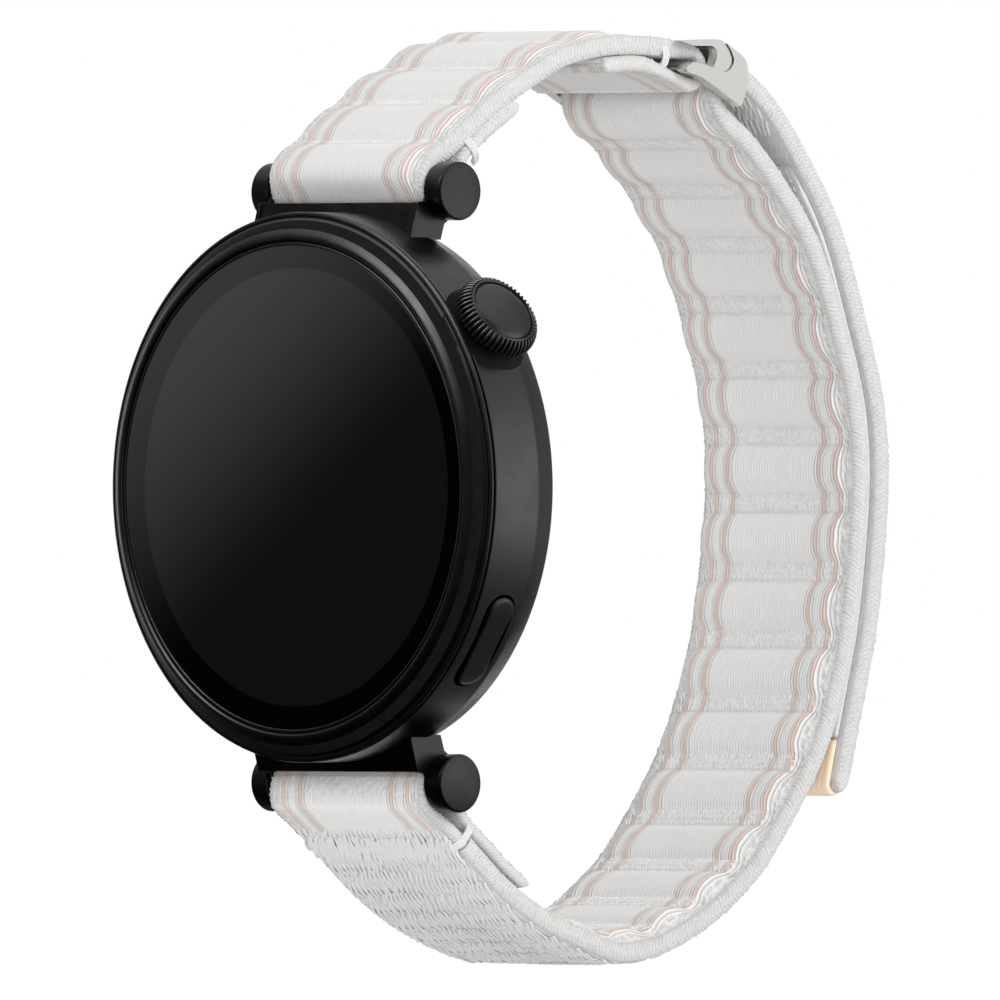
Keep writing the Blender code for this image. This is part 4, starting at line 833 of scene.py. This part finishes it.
def make_crown():
    place = radial_frame(CROWN_ANGLE, CROWN_HEIGHT)
    turn = place.to_3x3()
    top = CROWN_REACH - 0.05
    core = at_height(top, [
        (0.9, -1.9), (2.9, -1.9), (3.0, -1.62), (3.16, -1.52), (3.20, -1.36), (3.17, -0.66),
        (3.06, -0.40), (2.93, -0.16), (2.86, -0.04), (2.80, 0.02), (2.72, 0.04), (2.66, -0.01),
        (2.63, -0.12), (2.63, -0.7), (0.9, -0.7)])
    mounted(turned("crown_core", core, BLACK, place, 192, 40.0), "crown", "crown_knob")
    axis = Vector((0.0, 0.0, 1.0))
    ridges = []
    for index in range(CROWN_RIDGES):
        angle = 2.0 * math.pi * index / CROWN_RIDGES
        out = Vector((math.cos(angle), math.sin(angle), 0.0))
        middle = out * 3.12 * MM + axis * (top - 0.66) * MM
        ahead = (axis - out * 0.34).normalized()
        ridges.append((place @ middle, turn @ ahead, turn @ (out - ahead * out.dot(ahead)), 1.0))
    mounted(threads("crown_ridges", ridges, GLOSS, 1.34, 0.17, 0.115, 8, 10), "crown")
    cap = at_height(top, [
        (0.0, 0.42), (0.6, 0.40), (1.2, 0.34), (1.7, 0.255), (2.1, 0.16), (2.35, 0.075),
        (2.48, -0.01), (2.55, -0.08), (2.55, -0.5), (0.0, -0.5)])
    mounted(turned("crown_disc", cap, BLACK, place, 160, 40.0), "crown", "crown_cap")
    collar = at_height(top, [(2.56, -0.12), (2.62, -0.12), (2.62, -0.4), (2.56, -0.4)])
    mounted(turned("crown_groove", collar, RUBBER, place, 128), "crown")
    # A dark disc laid over the pocket floor: painted shadow under the crown.
    seal = [(1.0, 20.34), (3.74, 20.34), (3.74, 20.22), (1.0, 20.22)]
    mounted(turned("crown_pocket_shade", seal, RUBBER, place, 96), "head")


def make_button():
    """A pill whose crest follows the case side, built in shrinking rings."""
    shape = bmesh.new()
    rings = []
    for inset, sink in ((0.0, 0.75), (0.0, 0.22), (0.05, 0.10), (0.14, 0.03), (0.26, 0.0),
                        (0.55, 0.0), (0.9, 0.0), (1.2, 0.0)):
        ring = []
        for x, y in pill(BUTTON_LENGTH - 2.0 * inset, BUTTON_WIDTH - 2.0 * inset, 16):
            crest = math.sqrt((CASE_RADIUS + 0.14) ** 2 - x * x) - sink
            ring.append(shape.verts.new((x * MM, y * MM, crest * MM)))
        rings.append(ring)
    for first, second in zip(rings, rings[1:]):
        for index in range(len(first)):
            after = (index + 1) % len(first)
            shape.faces.new((first[index], first[after], second[after], second[index]))
    shape.faces.new(rings[0][::-1])
    shape.faces.new(rings[-1])
    made = solid("side_key_cap", shape, BLACK)
    made.data.transform(radial_frame(BUTTON_ANGLE, BUTTON_HEIGHT))
    mounted(tidy(made, 40.0), "side_key", "side_button")


def make_lugs():
    flat = cross_frame(0.0, 0.0)
    case_room = [(0.0, 9.2), (20.6, 9.2), (20.6, 0.0), (0.0, 0.0)]
    bar_room = [(0.0, 8.4), (2.5, 8.4), (2.5, -8.4), (0.0, -8.4)]
    outer = BARREL_INNER + BARREL_LENGTH
    radius = BARREL_RADIUS
    barrel = rounded([(0.0, outer + 0.16), (0.8, outer + 0.14), (1.5, outer + 0.08),
                      (radius - 0.16, outer + 0.02), (radius - 0.10, outer - 0.03),
                      (radius, outer - 0.13), (radius, BARREL_INNER - 0.1),
                      (0.0, BARREL_INNER - 0.1)], {3: 0.04, 5: 0.05})
    for label, way in (("upper", 1.0), ("lower", -1.0)):
        block, arm_outline = ([(y, way * z) for y, z in outline]
                              for outline in (LUG_OUTLINE, PLATE_EDGE))
        bar = (BAR_Y, way * BAR_DISTANCE)
        body = extruded(label + "_lug_block", block, -LUG_HALF, LUG_HALF, LUG, flat)
        body = cut(body, turned("cut_room", bar_room, BLACK, cross_frame(*bar), 96))
        body = cut(body, turned("cut_case", case_room, BLACK))
        mounted(softened(tidy(body, 30.0), 0.12), "head", label + "_lug")
        for side, end in ((1.0, "crown_side"), (-1.0, "far_side")):
            low, high = sorted(side * reach for reach in LUG_PLATE)
            arm = extruded(f"{label}_lug_plate_{end}", arm_outline, low, high, LUG, flat)
            arm = cut(arm, turned("cut_case", case_room, BLACK))
            mounted(softened(tidy(arm, 30.0), 0.10), "head")
            mounted(turned(f"{label}_lug_barrel_{end}", barrel, LUG,
                           cross_frame(*bar, side < 0.0), 160, 24.0), "head")


# Strap: routes and bands

def travelled(route):
    lengths = [0.0]
    for a, b in zip(route, route[1:]):
        lengths.append(lengths[-1] + math.hypot(b[0] - a[0], b[1] - a[1]))
    return lengths


def smooth_route(points):
    """A curve through the stations, read at even spacing."""
    points = [Vector(item) for item in points]
    padded = [2.0 * points[0] - points[1], *points, 2.0 * points[-1] - points[-2]]
    fine = [spot for four in zip(padded, padded[1:], padded[2:], padded[3:])
            for spot in between(*four, 16)]
    fine.append(points[-1])
    lengths = travelled(fine)
    count = max(2, round(lengths[-1] / STEP))
    made, at = [], 0
    for index in range(count + 1):
        goal = lengths[-1] * index / count
        while at < len(fine) - 2 and lengths[at + 1] < goal:
            at += 1
        span = max(lengths[at + 1] - lengths[at], 1e-9)
        made.append(fine[at].lerp(fine[at + 1], (goal - lengths[at]) / span))
    return made


def arc(centre, radius, start, end, reach, count=8):
    """Stations round a centre. The radius may be a function of the angle."""
    made = []
    for index in range(count + 1):
        turn = math.radians(start + (end - start) * index / count)
        size = radius(turn) if callable(radius) else radius
        made.append((centre[0] + size * math.cos(turn), centre[1] + size * math.sin(turn),
                     reach, reach))
    return made


def pocket_arc(way):
    """Round the spring bar, close to it on the case side and roomier away from the case."""
    return arc((BAR_Y, way * BAR_DISTANCE), lambda turn: 1.35 + 1.2 * (
        (1.0 + way * math.sin(turn)) / 2.0) ** 2.2, way * 15.0, way * -233.0, 0.45, 12)


def left_of(route, index):
    before = route[max(index - 1, 0)]
    after = route[min(index + 1, len(route) - 1)]
    return Vector((before[1] - after[1], after[0] - before[0])).normalized()


def fade(value):
    value = max(0.0, min(1.0, value))
    return value * value * (3.0 - 2.0 * value)


def ripple(along, across):
    """The pile's gentle waves, two to a cell, from nought to one."""
    return 0.5 + 0.5 * math.sin(2.0 * math.pi * (along / (PITCH / 2.0) + across * 0.045))


def cell_lift(along, across, spans, height, flat):
    """How far a padded cell stands up, and how far its floats bow aside."""
    for low, high, first, share in spans:
        if low <= along <= high:
            phase = ((along - first) / PITCH) % 1.0
            ends = min(fade((along - low) / 1.5), fade((high - along) / 1.5))
            side = fade((HALF_WIDTH + (0.5 if across < 0.0 and not flat else -0.9)
                         - abs(across)) / 1.2)
            if phase < share:
                puff = 1.0 - abs(2.0 * phase / share - 1.0) ** 2.6
                return height * puff * ends * side, -0.34 * puff * ends
            rib = math.sin(math.pi * (phase - share) / (1.0 - share))
            return 0.25 * height * rib * ends * side, 0.10 * rib * ends
    return 0.0, 0.0


def wider(left, rim):
    """How much further a thick band reaches on the far side."""
    return 1.1 * (left - rim) / rim if rim > 0.3 else 0.0


def band(name, route, faces, spans=(), puff=0.42, satin_left=True, waves=0.0, first=0.0,
         aside=0.0, ends=(True, True), flat=False, tape=False, columns=68):
    """A band of cloth. faces are its materials: left face, right face, selvedge.

    first and aside slide the weave, so that one of its cells starts where the padding does.
    """
    half, edge = (TAPE_HALF, 0.4) if tape else (HALF_WIDTH, SELVEDGE)
    shape = bmesh.new()
    sheet = shape.loops.layers.uv.new("cloth")
    lengths = travelled(route)
    marks = {}
    rings = []
    for index, (place, along) in enumerate(zip(route, lengths)):
        near_end = min(along if ends[0] else 1.0, lengths[-1] - along if ends[1] else 1.0) / 0.45
        thin = math.sqrt(max(0.05, 1.0 - max(0.0, 1.0 - near_end) ** 2))
        left, right = place[2] * thin, place[3] * thin
        rim = min(left, right)
        far = -half - (0.0 if tape else wider(left, rim))
        ring = []
        for way, reach in ((1.0, left), (-1.0, right)):
            row = []
            for column in range(columns + 1):
                across = (far + edge) + (half - edge - (far + edge)) * column / columns
                lift, bow = 0.0, 0.0
                if (way > 0.0) == satin_left:
                    lift, bow = cell_lift(along, across, spans, puff, flat)
                elif waves > 0.0:
                    lift = waves * fade((half - 0.6 - abs(across)) / 0.9) * ripple(along, across)
                crown = rim + (reach - rim) * fade((half - edge - abs(across)) / 1.2)
                row.append((across, way * (crown + lift), across - bow, 0 if way > 0.0 else 1))
            ring += row if way > 0.0 else row[::-1]
            root = (half if way > 0.0 else -far) - edge
            for step in range(1, 8):
                turn = math.pi * step / 8.0
                ring.append((way * (root + edge * math.sin(turn) ** 0.75),
                             way * rim * math.cos(turn), way * (root + step * 0.2), 2))
        normal = left_of(route, index)
        corners = []
        for across, offset, u, kind in ring:
            corner = shape.verts.new(Vector((across, place[0] + normal.x * offset,
                                             place[1] + normal.y * offset)) * MM)
            marks[corner] = ((u - aside) / SHEET + 0.5, (along - first) / SHEET
                             + (4.0 * PITCH / SHEET if first else 0.0))
            corners.append((corner, kind))
        rings.append(corners)
    for before, ahead in zip(rings, rings[1:]):
        for index in range(len(before)):
            after = (index + 1) % len(before)
            face = shape.faces.new((before[index][0], before[after][0],
                                    ahead[after][0], ahead[index][0]))
            kinds = (before[index][1], before[after][1])
            face.material_index = 2 if 2 in kinds else kinds[0]
    for ring in (rings[0][::-1], rings[-1]):
        shape.faces.new([item[0] for item in ring]).material_index = 2
    for face in shape.faces:
        face.smooth = True
        for loop in face.loops:
            loop[sheet].uv = marks[loop.vert]
    made = solid(name, shape, *faces)
    made.data.set_sharp_from_angle(angle=math.radians(70.0))
    return made


# Strap: loops, knots and edges

def on_face(route, lengths, along, across, side, height):
    """Place, direction along the cloth, and outward direction, on one face of a band."""
    index = min(range(len(route)), key=lambda item: abs(lengths[item] - along))
    normal = left_of(route, index) * side
    ahead = Vector((normal.y, -normal.x)) * side
    slip = along - lengths[index]
    reach = (route[index][2] if side > 0 else route[index][3]) + height
    y = route[index][0] + normal.x * reach + ahead.x * slip
    z = route[index][1] + normal.y * reach + ahead.y * slip
    return (Vector((across, y, z)) * MM, Vector((0.0, ahead.x, ahead.y)),
            Vector((0.0, normal.x, normal.y)))


def loop_rows(route, low, high, seed, row_pitch=1.33, across_pitch=0.50, waves=0.0, raised=0.0):
    """Slanted loops in staggered rows over the right face of a band."""
    seeded = random.Random(seed)
    lengths = travelled(route)
    made = []
    for row in range(int((high - low) / row_pitch)):
        for column in range(int(2.0 * (HALF_WIDTH - 0.8) / across_pitch) + 1):
            across = -HALF_WIDTH + 0.8 + across_pitch * (column + 0.5 * (row % 2))
            if across > HALF_WIDTH - 0.7:
                continue
            along = low + row * row_pitch + seeded.uniform(-0.20, 0.20)
            across += seeded.uniform(-0.10, 0.10)
            spot, ahead, up = on_face(route, lengths, along, across, -1.0,
                                      waves * ripple(along, across) + raised - 0.05)
            wave = 0.22 * math.sin(0.9 * across + 2.1 * along)
            lean = Vector((0.40 + wave + seeded.uniform(-0.08, 0.08), 0.0, 0.0))
            made.append((spot, ahead - lean, up, (seeded.uniform(0.9, 1.1), 1.7, 0.8)))
    return made


def knot_rows(route, spans, seed):
    """Short slanted yarns in the rough bands between padded cells, on the left face."""
    seeded = random.Random(seed)
    lengths = travelled(route)
    made = []
    for low, high, first, share in spans:
        room = (1.0 - share) * PITCH
        cell = math.ceil((low - first) / PITCH)
        while first + cell * PITCH < high:
            start = first + cell * PITCH - room
            cell += 1
            if start < low or start + room > high:
                continue
            for row in range(max(1, int(room / 0.5))):
                for column in range(52):
                    across = -7.5 + 0.29 * (column + 0.5 * (row % 2)) + seeded.uniform(-0.04, 0.04)
                    if min(abs(abs(across) - stripe) for stripe in STRIPES) < 0.30:
                        continue
                    along = start + 0.26 + row * 0.48 + seeded.uniform(-0.06, 0.06)
                    spot, ahead, up = on_face(route, lengths, along, across, 1.0, 0.0)
                    lean = Vector((seeded.uniform(-0.5, -0.2), 0.0, 0.0))
                    made.append((spot, ahead + lean, up, seeded.uniform(0.8, 1.1)))
    return made


def edge_ribs(route, low, high, pitch=0.38):
    """Yarns laid in a chevron over both selvedges."""
    seeded = random.Random(17)
    lengths = travelled(route)
    made = []
    for step in range(int((high - low) / pitch)):
        along = low + (step + 0.5) * pitch
        index = min(range(len(route)), key=lambda item: abs(lengths[item] - along))
        y, z, left, right = route[index]
        normal = left_of(route, index)
        rim = min(left, right)
        slip = along - lengths[index]
        ahead = Vector((normal.y, -normal.x))
        for side in (1.0, -1.0):
            across = side * (HALF_WIDTH - 0.20 + (wider(left, rim) if side < 0.0 else 0.0))
            for half in (1.0, -1.0):
                rise = half * rim * 0.5 + seeded.uniform(-0.05, 0.05)
                spot = Vector((across, y + ahead.x * slip + normal.x * rise,
                               z + ahead.y * slip + normal.y * rise)) * MM
                steep = 0.8 + seeded.uniform(-0.15, 0.15)
                lie = Vector((-0.56 * side, half * normal.x + ahead.x * steep,
                              half * normal.y + ahead.y * steep))
                made.append((spot, lie, Vector((side, 0.0, 0.0)),
                             (rim / 0.75 * seeded.uniform(0.85, 1.1), 1.0, 1.0)))
    return made


# Length, arch and radius in millimetres, then sides and steps of one thread
LOOP = (1.8, 0.09, 0.105, 6, 6)
HEM_LOOP = (1.6, 0.11, 0.11, 6, 6)
KNOT = (0.56, 0.10, 0.05, 5, 3)
RIB = (0.82, 0.10, 0.075, 5, 5)
TACK = (1.0, 0.72, 0.11, 8, 12)
HOOK = (0.34, 0.13, 0.05, 4, 4)


def edge_tacks(name, spots, body):
    """Cords sewn round the near and far selvedge: (Y, Z, lean, length) of each."""
    made = []
    for y, z, turn, size in spots:
        lie = Vector((0.0, math.cos(math.radians(turn)), math.sin(math.radians(turn))))
        for side in (1.0, -1.0):
            for step in range(3):
                shift = Vector((0.0, -lie.z, lie.y)) * 0.22 * (step - 1)
                spot = (Vector((side * (HALF_WIDTH - SELVEDGE), y, z)) + shift) * MM
                made.append((spot, lie, Vector((side, 0.0, 0.0)), (size, 1.0, 1.0)))
    mounted(threads(name, made, STITCH, *TACK), body)


def make_upper_strap():
    bend = (REAR_BAR[0] + 0.4, REAR_BAR[1])
    flap = LUG_FLAP + pocket_arc(1.0)
    route = smooth_route(flap + UPPER_LAYER + arc(bend, 1.25, 80.0, -100.0, 0.55)
                         + [(REAR_BAR[0] - 1.94, REAR_BAR[1] - 0.5, 0.45, 0.45)] + BUCKLE_FLAP)
    lead = travelled(smooth_route(flap))[-1]
    end = lead + travelled(smooth_route(UPPER_LAYER))[-1]
    first = lead + 2.72
    strap = band("upper_strap_cloth", route, (UPPER_SATIN, PLAIN, EDGE),
                 ((lead - 2.2, end - 1.0, first, UPPER_SHARE),), 0.46, first=first, aside=0.2)
    mounted(strap, "upper_strap", "upper_strap")
    ribs = edge_ribs(route, 1.0, travelled(route)[-1] - 1.0)
    mounted(threads("upper_strap_edge_ribs", ribs, EDGE_YARN, *RIB), "upper_strap")
    edge_tacks("upper_strap_tacks", ((0.40, 25.70, 128.0, 2.5), (20.75, 32.95, 92.0, 2.2)),
               "upper_strap")


def make_long_strap():
    route = smooth_route(LONG_ROUTE + arc(FRONT_BAR, 1.3, 180.0, 40.0, 0.60))
    end = travelled(route)[-1]
    spans = ((6.8, end - 3.0, 7.6, CELL_SHARE),)
    strap = band("long_strap_cloth", route, (SATIN, PILE, EDGE), spans, waves=0.16, first=7.6,
                 ends=(False, False))
    mounted(strap, "lower_strap", "long_strap")
    for name, places, finish, size in (
            ("long_strap_loops", loop_rows(route, 0.5, end - 5.5, 3, waves=0.16),
             LOOP_YARN, LOOP),
            ("long_strap_knots", knot_rows(route, spans, 5), KNOT_YARN, KNOT),
            ("long_strap_edge_ribs", edge_ribs(route, 1.2, end - 0.6), EDGE_YARN, RIB)):
        mounted(threads(name, places, finish, *size), "lower_strap")


def make_sleeve():
    route = smooth_route(SLEEVE_LEG + pocket_arc(-1.0) + SLEEVE_HEM)
    end = travelled(route)[-1]
    strap = band("sleeve_cloth", route, (PLAIN, SATIN, EDGE), satin_left=False,
                 first=end - 5.6, ends=(True, False))
    mounted(strap, "lower_strap", "lower_strap_sleeve")
    hem = (loop_rows(route, end - 1.6, end - 0.4, 4, 0.6)
           + loop_rows(route, end - 0.7, end + 1.2, 6, 0.45, 0.40, raised=0.15))
    mounted(threads("sleeve_loops", hem, LOOP_YARN, *HEM_LOOP), "lower_strap")
    edge_tacks("sleeve_tacks", ((-0.30, -26.35, 232.0, 2.6),), "lower_strap")
    ribs = edge_ribs(route, 0.8, end - 0.3)
    mounted(threads("sleeve_edge_ribs", ribs, EDGE_YARN, *RIB), "lower_strap")


def make_tail():
    route = smooth_route(TAIL_ROUTE)
    route = [place for place, length in zip(route, travelled(route)) if length < TAIL_LENGTH]
    cloth = [place.copy() for place in route]
    last = travelled(cloth)[-1]
    normal = left_of(cloth, len(cloth) - 1)
    for place, length in zip(cloth, travelled(cloth)):
        back = max(0.0, 1.0 - (last - length) / 1.3)
        less = 1.3 * (1.0 - math.sqrt(max(0.0, 1.0 - (0.98 * back) ** 2))) / 2.0
        place -= Vector((normal.x, normal.y, 1.0, 1.0)) * less
    spans = ((2.0, last - 1.0, 3.0, CELL_SHARE),)
    tail = band("strap_tail_cloth", cloth, (SATIN, PILE, EDGE), spans, 0.20, first=3.0,
                ends=(False, True), flat=True)
    mounted(tail, "strap_tail", "strap_tail")
    for name, places, finish, size in (
            ("strap_tail_edge_ribs", edge_ribs(cloth, 0.8, last - 1.2), EDGE_YARN, RIB),
            ("strap_tail_knots", knot_rows(route, spans, 13), KNOT_YARN, KNOT),
            ("strap_tail_loops", loop_rows(cloth, 0.5, 8.2, 17), LOOP_YARN, LOOP)):
        mounted(threads(name, places, finish, *size), "strap_tail")

    depth = CLOTH_REACH + 0.15 + TAPE_REACH
    lining = []
    for index, place in enumerate(route):
        normal = left_of(route, index)
        lining.append(Vector((place[0] - normal.x * depth, place[1] - normal.y * depth,
                              TAPE_REACH, TAPE_REACH)))
    whole = travelled(lining)
    end = whole[-1]
    patch, tab = ([place for place, length in zip(lining, whole) if low <= length <= high]
                  for low, high in ((9.0, end - 4.0), (end - 3.8, end - 0.4)))
    for index, place in enumerate(patch):
        place[2], place[3] = 0.36, 0.02 + 0.18 * fade(index * STEP / 3.0)
    mounted(band("hook_patch_tape", patch, (HOOK_GROUND,) * 3, tape=True), "strap_tail",
            "hook_patch")
    seeded = random.Random(21)
    spots = travelled(patch)
    hooks = []
    for row in range(int(spots[-1] / 0.8)):
        for column in range(24):
            spot, ahead, up = on_face(patch, spots, 0.4 + row * 0.8, -7.2 + column * 0.63,
                                      -1.0, -0.02)
            hooks.append((spot, ahead + Vector((seeded.uniform(-0.3, 0.3), 0.0, 0.0)), up, 1.0))
    mounted(threads("hook_patch_hooks", hooks, HOOK_YARN, *HOOK), "strap_tail")

    ahead = (tab[-1] - tab[-2]).normalized()
    aside = Vector((-ahead.y, ahead.x))
    curl = 0.72
    centre = tab[-1].xy + aside * curl
    for step in range(1, 10):
        turn = math.radians(14.0 * step)
        tab.append(Vector((*(centre + (ahead.xy * math.sin(turn) - aside * math.cos(turn)) * curl),
                           0.0, 0.0)))
    for place in tab:
        place[2], place[3] = 0.34, TAPE_REACH
    mounted(band("finger_tab_tape", tab, (TAB,) * 3, tape=True), "strap_tail", "end_tab")


# Buckle

def make_buckle():
    flat = cross_frame(*FRONT_BAR)
    plate = curved(PLATE_OUTLINE, 5)
    for side, end, nodes in ((1.0, "crown_side", ("buckle_frame",)), (-1.0, "far_side", ())):
        low, high = sorted((side * PLATE_INNER, side * PLATE_OUTER))
        made = extruded("buckle_plate_" + end, plate, low, high, WARM, flat)
        low, high = sorted((side * (PLATE_OUTER - INSET_DEPTH), side * 11.0))
        made = cut(made, extruded("cut_inset", HOOD_INSET, low, high, WARM, flat))
        mounted(softened(tidy(made, 35.0), 0.09), "buckle", *nodes)
    hood = extruded("buckle_hood", rounded(HOOD_OUTLINE, {1: 0.12, 2: 0.5, 3: 0.3, 6: 0.15}),
                    -BAR_HALF, BAR_HALF, WARM, flat, 0.08, 2)
    rounded_shading(hood, 35.0)
    mounted(hood, "buckle")
    front = rounded([(0.0, BAR_HALF), (0.4, BAR_HALF), (0.4, -BAR_HALF), (0.0, -BAR_HALF)],
                    {1: 0.1, 2: 0.1})
    mounted(turned("buckle_front_bar", front, WARM, flat, 48), "buckle")
    tilt = cross_frame(*REAR_BAR) @ Matrix.Rotation(math.radians(-13.0), 4, "Z")
    mounted(tidy(extruded("buckle_rear_bar", pill(1.6, 0.8, 12), -BAR_HALF, BAR_HALF, WARM,
                          tilt)), "buckle")


# What stays from the frame

def dress_rest():
    screws = [f"{lug}_lug_screw_{end}" for lug in ("upper", "lower")
              for end in ("crown_side", "far_side")]
    for material, names in (
            (GLASS, ["display_panel"]), (BOARD, ["circuit_board", "sensor_board"]),
            (CELL, ["battery"]), (PLASTIC, ["speaker", "crown_switch", "button_switch"]),
            (RUBBER, ["back_gasket", "bezel_gasket"]),
            (STEEL, ["movement_frame", "vibration_motor", "crown_tube", "crown_stem",
                     "button_spring", "upper_spring_bar", "lower_spring_bar",
                     "upper_release_lever", "lower_release_lever", *screws])):
        for name in names:
            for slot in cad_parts[name].material_slots:
                slot.material = material


# Stage, light and camera

def brighter_behind(y):
    """What the metal mirrors: dim in front, bright behind, and less straight behind."""
    return y.step(-0.6, 0.75, 0.04, 1.0) * y.step(0.76, 0.92, 1.0, 0.3)


def make_stage():
    """A white floor that keeps the shadow, and is dim near the watch where metal mirrors it."""
    mesh = bpy.data.meshes.new("floor")
    corners = ((-1, -1), (1, -1), (1, 1), (-1, 1))
    mesh.from_pydata([(x * FLOOR_HALF, y * FLOOR_HALF, FLOOR_HEIGHT) for x, y in corners], [],
                     [(0, 1, 2, 3)])
    made = Finish("white_floor", (0.92, 0.92, 0.92), 0.9)
    mesh.materials.append(made.material)
    camera, diffuse, glossy = made.rays("Camera", "Diffuse", "Glossy")
    x, y, _ = made.split(made.place())
    far = x.away(y)
    dim = brighter_behind(y / far) * far.step(0.03, 0.18, 0.12, 0.95)
    white, mirrored = (made.read("ShaderNodeEmission", {"Strength": value})
                       for value in (1.08, dim))
    plain = Signal(made, made.tree.nodes["Principled BSDF"].outputs[0])
    for share, light in (((camera * 0.87).most(diffuse * 0.6), white), (glossy, mirrored)):
        plain = made.read("ShaderNodeMixShader", (share, plain, light))
    made.plug(made.tree.nodes["Material Output"].inputs["Surface"], plain)
    link("floor", mesh)


def make_light():
    """White behind the watch; what its metal mirrors is bright behind and dim in front."""
    world = bpy.data.worlds.new("studio")
    bpy.context.scene.world = world
    world.use_nodes = True
    world.node_tree.nodes.clear()
    made = Nodes(world.node_tree)
    _, y, z = made.split(made.read("ShaderNodeTexCoord", out="Generated"))
    level = z.step(-0.7, -0.05, 0.15, 1.0) * z.step(0.05, 0.6, 1.0, 0.4)
    mirrored = (brighter_behind(y) * level).most(z.step(0.35, 0.8, 0.0, 0.6))
    camera, through, glossy = made.rays("Camera", "Transmission", "Glossy")
    seen = camera.most(through)
    lit = glossy * mirrored + (1.0 - glossy) * AMBIENT
    glow = made.read("ShaderNodeBackground", {"Color": (1.0, 1.0, 1.0),
                                              "Strength": seen + (1.0 - seen) * lit})
    made.add("ShaderNodeOutputWorld", [glow])
    for name, place, size, power in LAMPS:
        light = bpy.data.lights.new(name, "AREA")
        light.size = size
        light.energy = power
        lamp = link(name, light)
        lamp.location = place
        lamp.visible_glossy = name == "key"
        lamp.rotation_euler = (Vector(LAMP_AIM) - Vector(place)).to_track_quat(
            "-Z", "Y").to_euler()


def make_camera():
    lens = bpy.data.cameras.new("camera")
    lens.lens = FOCAL_LENGTH
    lens.sensor_width = 36.0
    lens.clip_start = 0.05
    lens.clip_end = 500.0
    made = link("camera", lens)
    across = Vector((math.cos(AZIMUTH), math.sin(AZIMUTH), 0.0))
    ahead = Vector((-math.sin(AZIMUTH), math.cos(AZIMUTH), 0.0))
    target = across * AIM_ASIDE + Vector((0.0, 0.0, AIM_UP)) + ahead * AIM_AHEAD
    made.location = target - ahead * DISTANCE
    made.rotation_euler = ahead.to_track_quat("-Z", "Y").to_euler()
    bpy.context.scene.camera = made


for make in (make_camera, make_head, make_crown, make_button, make_lugs, make_upper_strap,
             make_long_strap, make_sleeve, make_tail, make_buckle, dress_rest, make_stage,
             make_light):
    make()
bpy.context.scene.view_settings.view_transform = "Standard"
